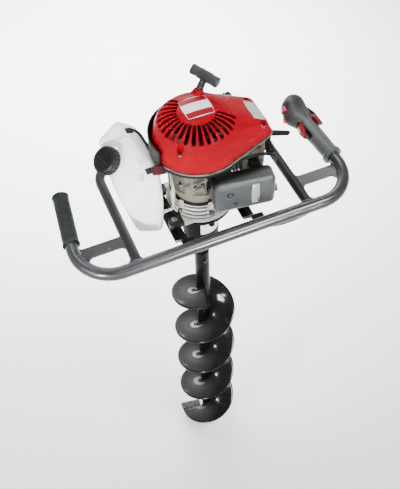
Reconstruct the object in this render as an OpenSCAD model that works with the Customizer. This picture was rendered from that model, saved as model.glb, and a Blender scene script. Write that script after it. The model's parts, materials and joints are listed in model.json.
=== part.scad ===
// One-man earth auger with a two-stroke engine, millimetres, +Z up the bit axis.
// The pilot tip is the origin and +X runs along the front bar to the throttle side.

/* [Bit] */
// diameter of the bored hole
bit_d = 150; // [120:5:180]
// rise of one turn of the flight
pitch = 150; // [130:5:165]
// thickness of the flight plate
flight_t = 5; // [3.5:0.5:7]
// outer diameter of the bit tube
bit_tube_d = 33; // [31:0.5:37]
// height of the top of the bit tube
bit_top_z = 805; // [795:1:815]
// height where the flight begins, above the pilot tip
flight_z = 46; // [42:1:54]
// turns of the flight
turns = 4.25; // [3.5:0.05:4.5]

/* [Frame] */
// height of the frame plane
frame_z = 1005; // [1003:0.5:1008]
// distance of the front bar from the bit axis
front_y = 134; // [130:1:140]
// outer diameter of the front tube
tube_d = 25; // [23:0.5:26]
// wall of both tubes
tube_wall = 2; // [1.5:0.5:2.5]
// half distance between the corners of the front tube
corner_x = 286; // [280:1:294]
// bend radius of the front tube
bend_r = 72; // [60:1:76]
// toe-in of the handles
toe = 7; // [5.5:0.1:9]
// rise of the handles
rise = 6.3; // [5:0.1:8]
// outer diameter of the rear tube
loop_d = 20; // [18:0.5:22]
// half distance between the side bars of the rear tube
loop_x = 175; // [174:1:182]
// distance of the rear bar from the bit axis
loop_y = 136; // [134:1:142]
// width of the flat brace strips
brace_w = 25; // [22:1:28]
// outer diameter of the rubber grip
grip_d = 31; // [30:0.5:33]

/* [Engine] */
// rim radius of the starter cover
cover_r = 85; // [84:0.5:87]
// height of the starter cover above its rim
dome_h = 77; // [72:0.5:84]
// wall of the starter cover
cover_wall = 3; // [2.5:0.1:3.2]
// number of cooling slots in the starter cover
slot_n = 20; // [16:1:22]
// width of a cooling slot
slot_w = 4.2; // [3:0.1:4.6]
// width of the muffler
muffler_w = 118; // [112:1:122]
// height of the muffler
muffler_h = 72; // [66:1:74]
// number of cylinder fins
fin_n = 8; // [6:1:9]
// bore radius of the exhaust outlet
outlet_r = 6; // [5:0.1:6.5]

/* [Gears and clutch] */
// teeth of both pinions
pinion_n = 12; // [11:1:13]
// gear module
gear_m = 1; // [0.98:0.01:1.02]
// gap left between two meshing flanks
backlash = 0.24; // [0.2:0.01:0.3]
// inner radius of the clutch drum
drum_r = 38; // [37:0.1:39]

/* [Controls] */
// diameter of the fuel cap
cap_d = 52; // [46:1:54]
// length of the starter handle bar
pull_len = 56; // [50:1:64]
// width of the throttle trigger
trigger_w = 13; // [10:0.5:14]
// running gap round the moving controls
run_gap = 0.4; // [0.3:0.05:0.5]

/* [Hidden] */

$fn = 64;
eps = 0.02;
shaft_fit = 0.05;

// gear train
gear_sum = 70;
gear_n = gear_sum - pinion_n;
centre = gear_sum * gear_m / 2;
pressure = 25;
stage1_z = 955;
stage2_z = 926;
gear_w = 14;
pinion_over = 2;

// bit
bit_r = bit_d / 2;
bit_tube_r = bit_tube_d / 2;
socket_r = 12.6;
socket_gap = 0.1;
flight_phase = -190;
flight_steps = 40;
pilot_z = 45;
pin_z = 780;
pin_r = 4;

// frame
tube_r = tube_d / 2;
loop_r = loop_d / 2;
loop_bend = 50;
bend_step = 0.1;
bend_lap = 1;
rail_u = [-sin(toe) * cos(rise), cos(toe) * cos(rise), sin(rise)];
corner = [corner_x, -front_y, frame_z];
turn = acos(rail_u[0]);
tangent = bend_r * tan(turn / 2);
bend_e3 = cross([1, 0, 0], rail_u) / norm(cross([1, 0, 0], rail_u));
bend_e2 = cross(bend_e3, [1, 0, 0]);
rail_n = ([0, 0, 1] - rail_u[2] * rail_u) / norm([0, 0, 1] - rail_u[2] * rail_u);
rail_x = cross(rail_u, rail_n);
rail_end = 200;
right_end = 118;
brace_y = -71;
brace_t = 4;
brace_gap = 0.4;
carrier_x = 72;
carrier_w = 24;
carrier_t = 5;
carrier_z = 960;
lug_y = 45;
lug_r = 12;
lug_z = 975;
lug_t = 10;
bolt_r = 4;
bolt_gap = 0.25;

// power unit levels
gearbox_z = 884;
bell_z = lug_z;
bell_h = 71;
case_z = bell_z + bell_h;
crank_z = case_z + 39;
plate_z = case_z + 76;
rim_z = plate_z + 8;
dome_z = rim_z + dome_h;
wheel_z = rim_z + 4;
rotor_z = case_z - 38;

// two straight lines joined by one bend, as a tube about the local path
module ring_bar(r, wall, len) {
  difference() {
    cylinder(r = r, h = len);
    translate([0, 0, -1]) cylinder(r = r - wall, h = len + 2);
  }
}

module bend_arc(r, wall, radius, angle) {
  rotate_extrude(angle = angle) translate([radius, 0]) difference() {
    circle(r = r);
    circle(r = r - wall);
  }
}

// local frame of the right handle: x outward, y down, z along the handle
module on_handle() {
  multmatrix([
    [rail_x[0], -rail_n[0], rail_u[0], corner[0]],
    [rail_x[1], -rail_n[1], rail_u[1], corner[1]],
    [rail_x[2], -rail_n[2], rail_u[2], corner[2]]]) children();
}

module handle_bend(r, wall) {
  multmatrix([
    [1, bend_e2[0], bend_e3[0], corner[0]],
    [0, bend_e2[1], bend_e3[1], corner[1]],
    [0, bend_e2[2], bend_e3[2], corner[2]]])
    translate([-tangent, bend_r, 0]) rotate([0, 0, -90])
      bend_arc(r, wall, bend_r, turn);
}

module front_tube() color([0.42, 0.43, 0.45]) {
  bar = corner_x - tangent + bend_lap;
  translate([-bar, -front_y, frame_z]) rotate([0, 90, 0]) ring_bar(tube_r, tube_wall, 2 * bar);
  for (side = [0, 1]) mirror([side, 0, 0]) handle_bend(tube_r - bend_step, tube_wall - 2 * bend_step);
  start = tangent - bend_lap;
  on_handle() translate([0, 0, start]) ring_bar(tube_r, tube_wall, right_end - start);
  mirror([1, 0, 0]) on_handle() translate([0, 0, start]) ring_bar(tube_r, tube_wall, rail_end - start);
}

// room taken by the round tubes, for coped ends
module front_bar_room() {
  translate([-corner_x, -front_y, frame_z]) rotate([0, 90, 0]) cylinder(r = tube_r, h = 2 * corner_x);
}

module rear_bar_room() {
  translate([-loop_x, loop_y, frame_z]) rotate([0, 90, 0]) cylinder(r = loop_r, h = 2 * loop_x);
}

module side_bar_room() {
  translate([loop_x, -front_y, frame_z]) rotate([-90, 0, 0]) cylinder(r = loop_r, h = front_y + loop_y);
}

module rear_tube() color([0.38, 0.39, 0.41]) {
  straight = front_y + loop_y - loop_bend;
  difference() {
    union() {
      for (side = [0, 1]) mirror([side, 0, 0]) {
        translate([loop_x, -front_y, frame_z]) rotate([-90, 0, 0]) ring_bar(loop_r, tube_wall, straight + bend_lap);
        translate([loop_x - loop_bend, loop_y - loop_bend, frame_z])
          bend_arc(loop_r - bend_step, tube_wall - 2 * bend_step, loop_bend, 90);
      }
      translate([loop_bend - bend_lap - loop_x, loop_y, frame_z]) rotate([0, 90, 0])
        ring_bar(loop_r, tube_wall, 2 * (loop_x - loop_bend + bend_lap));
    }
    front_bar_room();
  }
}

module brace() color([0.40, 0.41, 0.43]) intersection() {
  difference() {
    translate([loop_x, brace_y - brace_w / 2, frame_z + 2]) cube([corner_x - loop_x, brace_w, brace_t]);
    side_bar_room();
  }
  translate([corner_x - tangent, bend_r * cos(rise) - front_y, frame_z])
    cylinder(r = bend_r - tube_r - brace_gap, h = 20);
}

module brace_strips() for (side = [0, 1]) mirror([side, 0, 0]) brace();

// lens-shaped web welded under the front bar on the throttle side
module tube_gusset() color([0.42, 0.43, 0.45]) {
  lens_r = 120;
  lens_x = 132;
  lens_drop = 26;
  web_t = 4;
  difference() {
    translate([lens_x, web_t / 2 - front_y, frame_z - lens_drop + lens_r]) rotate([90, 0, 0])
      cylinder(r = lens_r, h = web_t, $fn = 128);
    translate([lens_x - 2 * lens_r, -front_y - 10, frame_z]) cube([4 * lens_r, 20, 3 * lens_r]);
    front_bar_room();
  }
}

// bent flat bar from the front bar under the engine to the rear bar
module carrier() color([0.10, 0.10, 0.11]) {
  t = carrier_t;
  low = carrier_z;
  high = frame_z - t / 2;
  difference() {
    translate([carrier_x - carrier_w / 2, 0, 0]) rotate([90, 0, 90]) linear_extrude(carrier_w) polygon([
      [-front_y, high], [-112, high], [-78, low], [78, low], [112, high], [loop_y, high],
      [loop_y, high + t], [110, high + t], [76, low + t], [-76, low + t], [-110, high + t], [-front_y, high + t]]);
    front_bar_room();
    rear_bar_room();
    for (y = [-lug_y, lug_y]) translate([carrier_x, y, low - 1]) cylinder(r = bolt_r + bolt_gap, h = t + 2);
  }
}

module engine_carriers() for (side = [0, 1]) mirror([side, 0, 0]) carrier();

module at_lugs() for (x = [-carrier_x, carrier_x], y = [-lug_y, lug_y]) translate([x, y, 0]) children();

module rubber_buffers() color([0.06, 0.06, 0.06]) at_lugs() difference() {
  low = carrier_z + carrier_t;
  translate([0, 0, low]) cylinder(r = lug_r - 1, h = lug_z - low);
  translate([0, 0, low - 1]) cylinder(r = bolt_r + bolt_gap, h = lug_z - low + 2);
}

module carrier_bolts() color([0.75, 0.75, 0.76]) at_lugs() {
  translate([0, 0, lug_z + lug_t]) cylinder(r = 6.5, h = 5, $fn = 6);
  translate([0, 0, carrier_z - 10]) cylinder(r = bolt_r, h = lug_z + lug_t - carrier_z + 10);
  difference() {
    translate([0, 0, carrier_z - 7]) cylinder(r = 7.2, h = 7, $fn = 6);
    translate([0, 0, carrier_z - 8]) cylinder(r = bolt_r + eps, h = 9);
  }
}

module left_grip() color([0.07, 0.09, 0.08]) mirror([1, 0, 0]) on_handle() {
  grip_start = 88;
  grip_end = 206;
  flange_r = grip_d / 2 + 2.8;
  ridge_step = 9;
  difference() {
    union() {
      translate([0, 0, grip_start]) cylinder(r = grip_d / 2, h = grip_end - grip_start);
      for (s = [grip_start, grip_end - 4]) translate([0, 0, s]) cylinder(r = flange_r, h = 4);
      for (s = [grip_start + 14 : ridge_step : grip_end - 14]) translate([0, 0, s])
        cylinder(r = grip_d / 2 + 0.8, h = ridge_step / 2);
    }
    translate([0, 0, grip_start - 1]) cylinder(r = tube_r, h = rail_end - grip_start + 1);
  }
}

// outer form of the throttle handle before its two halves part
module handle_form() {
  hull() {
    translate([0, 0, 96]) cylinder(r = 17, h = 1, $fn = 32);
    translate([-1, -1, 188]) cylinder(r = 18.5, h = 1, $fn = 32);
  }
  hull() {
    translate([-1, -1, 188]) cylinder(r = 18.5, h = 1, $fn = 32);
    translate([-13, -5, 217]) sphere(r = 22, $fn = 32);
    translate([-6, -8, 234]) sphere(r = 23, $fn = 32);
    translate([3, -6, 241]) sphere(r = 23, $fn = 32);
    translate([2, 8, 226]) sphere(r = 20, $fn = 32);
  }
  translate([0, 0, 92]) cylinder(r = 20, h = 9);
}

handle_screw_at = [[0, 15, 106], [0, -4, 250]];
switch_at = [-27, -14, 233];
switch_turn = -62;
button_at = [-31, -2, 215];

trigger_pivot = [-13, -6, 186];
lock_pivot = [13, -18, 187];
lock_w = 9;
pivot_r = 2;
pivot_reach = 2;

module trigger_pin(r, reach) translate(trigger_pivot - [0, trigger_w / 2 + reach, 0]) rotate([-90, 0, 0])
  cylinder(r = r, h = trigger_w + 2 * reach, $fn = 24);

module lock_pin(r, reach) translate(lock_pivot - [lock_w / 2 + reach, 0, 0]) rotate([0, 90, 0])
  cylinder(r = r, h = lock_w + 2 * reach, $fn = 24);

// pocket round the trigger with its pin bores
module trigger_room() {
  room = 1.4;
  width = trigger_w + 2 * run_gap;
  translate([-34 - room, trigger_pivot[1] - width / 2, 150 - room]) cube([26 + 2 * room, width, 42 + 2 * room]);
  trigger_pin(pivot_r + shaft_fit, pivot_reach + run_gap);
}

// pocket round the lock with its pin bores
module lock_room() {
  room = 1.4;
  width = lock_w + 2 * run_gap;
  translate([lock_pivot[0] - width / 2, -38 - room, 154 - room]) cube([width, 26 + 2 * room, 38 + 2 * room]);
  lock_pin(pivot_r + shaft_fit, pivot_reach + run_gap);
}

// two cheeks that carry the lock's pin
module lock_cheeks() {
  cheek_t = 2.5;
  for (x = [lock_pivot[0] - lock_w / 2 - run_gap - cheek_t, lock_pivot[0] + lock_w / 2 + run_gap])
    translate([x, 0, 0]) rotate([90, 0, 90]) linear_extrude(cheek_t)
      polygon([[-23, 184], [-14, 180], [-4, 192], [-2, 216], [-16, 216], [-23, 194]]);
}

module handle_body() difference() {
  union() {
    handle_form();
    lock_cheeks();
  }
  translate([0, 0, 90]) cylinder(r = tube_r, h = right_end - 90);
  trigger_room();
  lock_room();
  translate(switch_at) rotate([0, switch_turn, 0]) translate([-6.5 - run_gap, -6.5 - run_gap, -14])
    cube([13 + 2 * run_gap, 13 + 2 * run_gap, 40]);
  translate(button_at) rotate([0, -80, 0]) translate([0, 0, -10]) cylinder(r = 5 + run_gap, h = 30);
  for (p = handle_screw_at) translate(p) rotate([0, 90, 0]) {
    translate([0, 0, -6]) cylinder(r = 1.5, h = 20, $fn = 24);
    translate([0, 0, 4]) cylinder(r = 3.6, h = 60, $fn = 24);
  }
}

module handle_inner_shell() color([0.17, 0.18, 0.19]) on_handle() intersection() {
  handle_body();
  translate([-80, -80, 60]) cube([80, 160, 220]);
}

module handle_outer_shell() color([0.18, 0.19, 0.20]) on_handle() intersection() {
  handle_body();
  translate([0, -80, 60]) cube([80, 160, 220]);
}

module handle_screws() color([0.72, 0.72, 0.73]) on_handle() for (p = handle_screw_at)
  translate(p) rotate([0, 90, 0]) {
    translate([0, 0, -6]) cylinder(r = 1.5, h = 10, $fn = 24);
    translate([0, 0, 4]) cylinder(r = 3.4, h = 2, $fn = 24);
  }

// gear outline with involute flanks
function inv(a) = tan(a) * 180 / PI - a;
function flank(r, base) = r <= base ? 0 : inv(acos(base / r));
function gear_points(n, tip, root) =
  let (pr = n * gear_m / 2, base = pr * cos(pressure), half = (90 - backlash / gear_m / 2 * 180 / PI) / n)
  [for (i = [0 : n - 1]) for (k = [0 : 9])
    let (side = k < 5 ? -1 : 1, j = k < 5 ? k : 9 - k, low = max(base, root),
      r = j == 0 ? root : low + (tip - low) * (j - 1) / 3,
      a = i * 360 / n + side * (half + flank(pr, base) - flank(r, base)))
    [r * cos(a), r * sin(a)]];

module gear(n, h, tip_cut) linear_extrude(h)
  polygon(gear_points(n, n * gear_m / 2 + (1 - tip_cut) * gear_m, n * gear_m / 2 - 1.25 * gear_m));

flange_turns = [30, 150, 210, 270, 330];

module at_flange_screws() for (a = flange_turns) rotate([0, 0, a]) translate([60, 0, 0]) children();

module gearbox_housing() color([0.09, 0.09, 0.10]) {
  wall = 5;
  room = 33;
  top = bell_z;
  difference() {
    union() {
      translate([0, 0, gearbox_z]) cylinder(r = room + wall, h = top - gearbox_z);
      translate([0, centre, gearbox_z]) cylinder(r = room + wall, h = top - gearbox_z);
      translate([0, 0, top - 8]) cylinder(r = 67, h = 8);
      translate([0, 0, gearbox_z - 34]) cylinder(r1 = 24, r2 = 34, h = 34);
      at_flange_screws() translate([0, 0, top - 20]) cylinder(r = 6, h = 20);
      for (i = [0 : 11]) rotate([0, 0, 30 * i]) translate([22, -2, gearbox_z - 24]) cube([room + wall - 23, 4, 40]);
    }
    translate([0, 0, gearbox_z + wall]) cylinder(r = room, h = top);
    translate([0, centre, gearbox_z + wall]) cylinder(r = room, h = top);
    translate([0, 0, gearbox_z - 40]) cylinder(r = 14, h = 80);
    translate([0, 0, gearbox_z - 20]) cylinder(r = 17, h = 60);
    translate([0, centre, gearbox_z - 3]) cylinder(r = 8, h = 20);
    at_flange_screws() translate([0, 0, top - 16]) cylinder(r = 2.5, h = 30);
  }
}

// ribbed bell between the gearbox and the crankcase
module clutch_housing() color([0.78, 0.77, 0.74]) {
  ring_n = 4;
  ring_h = 5;
  ring_step = 8;
  ring_r = 66;
  neck_z = bell_z + lug_t + ring_n * ring_step;
  difference() {
    union() {
      translate([0, 0, bell_z]) cylinder(r = 67, h = lug_t);
      translate([0, 0, bell_z + lug_t - 1]) cylinder(r1 = 61, r2 = 53, h = neck_z - bell_z - lug_t + 1);
      for (i = [0 : ring_n - 1]) translate([0, 0, bell_z + lug_t + 2 + ring_step * i])
        cylinder(r = ring_r - 2.4 * i, h = ring_h);
      translate([0, 0, neck_z - 1]) cylinder(r = 52, h = case_z - neck_z);
      translate([0, 0, case_z - 9]) cylinder(r = 60, h = 9);
      at_lugs() translate([0, 0, lug_z]) cylinder(r = lug_r, h = lug_t);
      for (y = [-lug_y, lug_y]) translate([-carrier_x, y - lug_r, lug_z]) cube([2 * carrier_x, 2 * lug_r, lug_t]);
    }
    translate([0, 0, bell_z + 12]) cylinder(r = 44, h = 80);
    translate([0, 0, bell_z - 1]) cylinder(r = 16, h = 40);
    translate([0, centre, bell_z - 1]) cylinder(r = 8, h = 8);
    at_lugs() translate([0, 0, lug_z - 1]) cylinder(r = bolt_r + bolt_gap, h = lug_t + 2);
    at_lugs() translate([0, 0, lug_z + lug_t]) cylinder(r = 8, h = 80);
    at_flange_screws() translate([0, 0, bell_z - 1]) cylinder(r = 2.7, h = lug_t + 2);
    at_flange_screws() translate([0, 0, bell_z + lug_t]) cylinder(r = 6.5, h = ring_n * ring_step);
    muffler_room();
  }
}

// plain ring with a rounded groove on each face, standing for a sealed ball bearing
module sealed_bearing(inner, outer, h) difference() {
  cylinder(r = outer, h = h);
  translate([0, 0, -1]) cylinder(r = inner, h = h + 2);
  for (z = [0, h]) translate([0, 0, z]) rotate_extrude() translate([(inner + outer) / 2, 0])
    circle(r = (outer - inner) / 5);
}

shaft_r = 11;

module ball_bearings() color([0.70, 0.71, 0.72]) {
  for (z = [gearbox_z - 14, gearbox_z]) translate([0, 0, z]) sealed_bearing(shaft_r + shaft_fit, 17, 11);
  translate([0, 0, bell_z]) sealed_bearing(6 + shaft_fit, 16, 11);
  for (z = [case_z, plate_z - 11]) translate([0, 0, z]) sealed_bearing(8 + shaft_fit, 17, 11);
}

module layshaft_bushes() color([0.72, 0.53, 0.25]) for (z = [gearbox_z - 3, bell_z]) translate([0, centre, z]) difference() {
  cylinder(r = 8, h = 7);
  translate([0, 0, -1]) cylinder(r = 5 + shaft_fit, h = 9);
}

case_bolt_turns = [30, 150, 210, 330];
front_bolt = [-24, -60, case_z + 26];
tab_at = [-64, -20, plate_z - 9];

module crankcase() color([0.74, 0.73, 0.70]) {
  band_h = 5;
  difference() {
    union() {
      translate([0, 0, case_z]) cylinder(r = 58, h = 12);
      translate([0, 0, case_z]) cylinder(r = 50, h = plate_z - case_z);
      translate([-48, -56, case_z + 12]) cube([44, 100, 48]);
      translate([-48, -40, case_z + 12]) cube([90, 84, 48]);
      translate([-52, -60, crank_z - 3]) cube([48, 108, band_h]);
      translate([-52, -40, crank_z - 3]) cube([98, 88, band_h]);
      for (x = [-38, -12]) translate([x, -60, case_z + 6]) cube([4, 16, 52]);
      translate([front_bolt[0], -55, front_bolt[2]]) rotate([90, 0, 0]) cylinder(r = 8, h = 6);
      translate([30, 0, crank_z]) rotate([0, 90, 0]) cylinder(r = 36, h = 22);
      translate([tab_at[0] - 8, tab_at[1] - 8, tab_at[2] - 14]) cube([36, 16, 14]);
    }
    translate([0, 0, case_z - 1]) cylinder(r = 9, h = plate_z);
    for (z = [case_z - 1, plate_z - 11]) translate([0, 0, z]) cylinder(r = 17, h = 12);
    translate([front_bolt[0], -50, front_bolt[2]]) rotate([90, 0, 0]) cylinder(r = 3, h = 30);
    translate(front_bolt) rotate([90, 0, 0]) cylinder(r = 5.8, h = 20);
    for (a = case_bolt_turns) rotate([0, 0, a]) translate([54, 0, case_z - 1]) cylinder(r = 2.6, h = 14);
    for (a = case_bolt_turns) rotate([0, 0, a]) translate([54, 0, case_z + 12]) cylinder(r = 5.6, h = 30);
    translate([tab_at[0], tab_at[1], tab_at[2] - 10]) cylinder(r = 2.5, h = 20);
    muffler_room();
  }
}

module housing_screws() color([0.62, 0.62, 0.63]) {
  at_flange_screws() {
    translate([0, 0, bell_z - 16]) cylinder(r = 2.5, h = lug_t + 16);
    difference() {
      translate([0, 0, bell_z + lug_t]) cylinder(r = 4.4, h = 5);
      translate([0, 0, bell_z + lug_t + 2.5]) cylinder(r = 2.3, h = 4, $fn = 6);
    }
  }
  for (a = case_bolt_turns) rotate([0, 0, a]) translate([54, 0, case_z]) {
    translate([0, 0, 12]) cylinder(r = 4.8, h = 4, $fn = 6);
    cylinder(r = 2.6, h = 12);
  }
  translate(front_bolt) rotate([90, 0, 0]) {
    cylinder(r = 5.2, h = 4, $fn = 6);
    translate([0, 0, -8]) cylinder(r = 3, h = 8);
  }
  translate(tab_at) {
    translate([0, 0, 5]) cylinder(r = 4.8, h = 4, $fn = 6);
    translate([0, 0, -9]) cylinder(r = 2.5, h = 14);
  }
}

head_x = 122;
fin_x = 60;
fin_top = 1118;
fin_size = 68;

module cylinder_fin(size) translate([0, -size / 2, 0]) cube([3, size, size]);

module cylinder_block() {
  step = (head_x - 10 - fin_x) / fin_n;
  translate([52, 0, crank_z]) rotate([0, 90, 0]) cylinder(r = 30, h = head_x - 52);
  for (i = [0 : fin_n - 1]) translate([fin_x + i * step, 0, fin_top - fin_size]) cylinder_fin(fin_size);
  translate([head_x - 14, 0, crank_z]) rotate([0, 90, 0]) cylinder(r = 36, h = 14);
  translate([head_x - 12, -36, fin_top - 58]) cube([12, 72, 56]);
  translate([72, -46, crank_z - 22]) cube([44, 40, 40]);
  translate([72, 10, crank_z - 20]) cube([40, 36, 40]);
}

// finned barrel and head in one casting, lying along +X
module engine_cylinder() color([0.72, 0.70, 0.66]) difference() {
  cylinder_block();
  translate([head_x - 12, 0, crank_z]) rotate([0, 90, 0]) cylinder(r = 7, h = 20);
  translate([92, -50, crank_z]) rotate([-90, 0, 0]) cylinder(r = 11, h = 20);
  translate([92, 30, crank_z]) rotate([-90, 0, 0]) cylinder(r = 9, h = 20);
  translate([0, 0, case_z]) cylinder(r = 58.2, h = 12.2);
}

module spark_plug() color([0.85, 0.85, 0.84]) translate([head_x, 0, crank_z]) rotate([0, 90, 0]) {
  translate([0, 0, -12]) cylinder(r = 7, h = 12);
  cylinder(r = 10, h = 2);
  translate([0, 0, 2]) cylinder(r = 10.4, h = 7, $fn = 6);
  translate([0, 0, 9]) cylinder(r = 5, h = 14);
}

boot_x = head_x + 16;
stem_tilt = 120;

module on_stem() translate([boot_x + 2, 0, crank_z]) rotate([stem_tilt, 0, 0]) children();

// moulded boot: a socket on the plug and a ridged stem toward the lead
module plug_boot() color([0.05, 0.05, 0.05]) difference() {
  union() {
    translate([head_x + 9, 0, crank_z]) rotate([0, 90, 0]) cylinder(r = 9.5, h = 18);
    on_stem() cylinder(r = 8, h = 36);
    on_stem() for (d = [12 : 5 : 32]) translate([0, 0, d]) cylinder(r = 9.6, h = 2.4);
  }
  translate([head_x + 8, 0, crank_z]) rotate([0, 90, 0]) cylinder(r = 5, h = 15);
  on_stem() translate([0, 0, 30]) cylinder(r = 3.1, h = 20);
}

// tube swept along points with rings square to the route
function unit(v) = v / norm(v);
function side_of(t) = unit(cross(t, abs(t[2]) < 0.8 ? [0, 0, 1] : [1, 0, 0]));
function along(p, i) = unit(p[min(i + 1, len(p) - 1)] - p[max(i - 1, 0)]);
function hermite(a, b, ta, tb, t) =
  (2 * t * t * t - 3 * t * t + 1) * a + (t * t * t - 2 * t * t + t) * ta
  + (3 * t * t - 2 * t * t * t) * b + (t * t * t - t * t) * tb;
function smooth(p, n) = concat([for (i = [0 : len(p) - 2]) for (k = [0 : n - 1])
  hermite(p[i], p[i + 1], (p[i + 1] - p[max(i - 1, 0)]) / 2, (p[min(i + 2, len(p) - 1)] - p[i]) / 2, k / n)],
  [p[len(p) - 1]]);
function carry(p, i, s) = let (t = along(p, i)) unit(s - (s * t) * t);
function sides(p) = [for (i = 0, s = side_of(along(p, 0)); i < len(p); i = i + 1,
  s = i < len(p) ? carry(p, i, s) : s) s];

module cord(points, r, n) {
  frames = sides(points);
  last = len(points) - 1;
  rings = [for (i = [0 : last]) for (k = [0 : n - 1])
    let (t = along(points, i), s = frames[i], c = cross(t, s))
    points[i] + r * (cos(360 * k / n) * s + sin(360 * k / n) * c)];
  walls = [for (i = [0 : last - 1]) for (k = [0 : n - 1])
    let (a = i * n + k, b = i * n + (k + 1) % n) [a, a + n, b + n, b]];
  ends = [[for (k = [0 : n - 1]) k], [for (k = [n - 1 : -1 : 0]) last * n + k]];
  polyhedron(rings, concat(walls, ends), convexity = 8);
}

coil_at = [22, -62, 1097];
function stem_point(d) = [boot_x + 2, d * sin(stem_tilt) * -1, crank_z + d * cos(stem_tilt)];
lead_route = [stem_point(31), stem_point(36), stem_point(42), [139, -48, 1066], [136, -54, 1076], [130, -56, 1090],
  [114, -57, 1102], [90, -59, 1109], [66, -60, 1110], [48, -62, 1106], [38.5, -62, 1104]];

module plug_lead() color([0.05, 0.05, 0.05]) cord(smooth(lead_route, 4), 3, 8);

module ignition_coil() color([0.10, 0.10, 0.11]) difference() {
  union() {
    translate([coil_at[0] - 16, coil_at[1] - 8, coil_at[2] - 5]) cube([32, 14, 25]);
    translate([coil_at[0] - 24, coil_at[1] + 2, plate_z - 7]) cube([48, 10, 7]);
  }
  translate([coil_at[0] + 15.9, coil_at[1], coil_at[2] + 7]) rotate([0, 90, 0]) cylinder(r = 3, h = 2, $fn = 24);
}

muffler_z = 1019;
muffler_turn = -9;
muffler_at = [57, -80, muffler_z];
muffler_round = 11;
muffler_deep = 10;
muffler_gap = 2;
muffler_bolt_x = [-20, 26];
port_y = -46;
stub_x = 36;

module on_muffler() translate(muffler_at) rotate([0, 0, muffler_turn]) children();

// flat recess left in the castings behind the muffler
module muffler_room() on_muffler() translate([-muffler_w / 2 - 4, -60, -muffler_gap])
  cube([muffler_w + 8, 60 + muffler_deep + muffler_round + muffler_gap, muffler_h + 60]);

// rounded two-shell box with a pressed ring and a stub to the exhaust port
module muffler() color([0.55, 0.57, 0.59]) on_muffler() {
  half = muffler_w / 2 - muffler_round;
  face = muffler_deep + muffler_round;
  stub_len = port_y - muffler_at[1] - muffler_deep * cos(muffler_turn) - stub_x * sin(muffler_turn);
  difference() {
    union() {
      hull() {
        for (x = [-half, half], y = [-muffler_deep, muffler_deep], z = [muffler_round, muffler_h - muffler_round])
          translate([x, y, z]) sphere(r = muffler_round, $fn = 32);
      }
      translate([-muffler_w / 2 - 1.5, 2, muffler_round]) cube([muffler_w + 3, 3, muffler_h - 2 * muffler_round]);
      translate([-30, 1 - face, muffler_h * 0.66]) rotate([90, 0, 0]) difference() {
        cylinder(r = 9, h = 2.6);
        translate([0, 0, -1]) cylinder(r = 5.5, h = 5);
      }
      translate([stub_x, muffler_deep, muffler_h - 12]) rotate([-90, 0, -muffler_turn])
        cylinder(r = 12, h = stub_len);
    }
    translate([muffler_w / 2 - 16, -4, 26]) rotate([0, 90, 0]) cylinder(r = outlet_r + 1.5, h = 30);
    for (x = muffler_bolt_x) translate([x, 3 - face, muffler_h * 0.3]) {
      rotate([90, 0, 0]) cylinder(r = 4.6, h = 20);
      rotate([-90, 0, 0]) cylinder(r = 2.5, h = 32);
    }
  }
}

module muffler_bolts() color([0.30, 0.30, 0.31]) on_muffler() for (x = muffler_bolt_x)
  translate([x, 3 - muffler_deep - muffler_round, muffler_h * 0.3]) {
    rotate([90, 0, 0]) cylinder(r = 4.2, h = 4, $fn = 6);
    rotate([-90, 0, 0]) cylinder(r = 2.5, h = 32);
  }

module exhaust_pipe() color([0.24, 0.22, 0.20]) on_muffler()
  translate([muffler_w / 2 - 16, -4, 26]) rotate([0, 90, 0]) difference() {
    cylinder(r = outlet_r + 1.5, h = 22);
    translate([0, 0, 2]) cylinder(r = outlet_r, h = 24);
  }

module intake_insulator() color([0.15, 0.10, 0.08]) translate([92, 46, crank_z]) rotate([-90, 0, 0]) difference() {
  translate([-22, -18, 0]) cube([44, 36, 8]);
  translate([0, 0, -1]) cylinder(r = 9, h = 10);
}

module carburettor() color([0.66, 0.66, 0.65]) translate([92, 54, crank_z]) difference() {
  union() {
    translate([-18, 0, -18]) cube([36, 32, 36]);
    translate([-22, 0, -14]) cube([44, 4, 28]);
    translate([-13, 16, 18]) cylinder(r = 9, h = 5);
    translate([18, 16, 2]) rotate([0, 90, 0]) cylinder(r = 6, h = 6);
    translate([-24, 20, -4]) rotate([0, 90, 0]) cylinder(r = 3, h = 6);
  }
  translate([0, -1, 0]) rotate([-90, 0, 0]) cylinder(r = 9, h = 40);
}

filter_y = 86;

filter_h = 68;
filter_w = 68;

module air_filter_base() color([0.08, 0.08, 0.09]) translate([92, filter_y, crank_z]) difference() {
  translate([-44, 0, -32]) cube([filter_w, 5, filter_h]);
  translate([0, -1, 0]) rotate([-90, 0, 0]) cylinder(r = 9, h = 8);
}

module air_filter_element() color([0.20, 0.20, 0.21]) translate([92, filter_y + 5, crank_z])
  difference() {
    translate([-36, 0, -24]) cube([filter_w - 16, 14, filter_h - 16]);
    translate([-28, -1, -16]) cube([filter_w - 32, 10, filter_h - 32]);
  }

module air_filter_cover() color([0.06, 0.06, 0.06]) translate([92, filter_y + 5, crank_z]) {
  difference() {
    union() {
      translate([-44, 0, -32]) cube([filter_w, 20, filter_h]);
      translate([-38, 20, -26]) cube([filter_w - 12, 6, filter_h - 12]);
      for (x = [-40 : 8 : filter_w - 50]) translate([x, 0, filter_h - 32]) cube([4, 20, 3]);
    }
    translate([-41, -1, -29]) cube([filter_w - 6, 18, filter_h - 6]);
  }
}

// plan of the engine cover, grown by g: fan circle and tapered end
tail_x = 121;
tail_front = -26;
tail_back = 38;
tail_r = 17;
shroud_h = 40;

function arc_points(at, r, from, to, n) = [for (i = [0 : n])
  let (a = from + (to - from) * i / n) at + r * [cos(a), sin(a)]];

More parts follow.
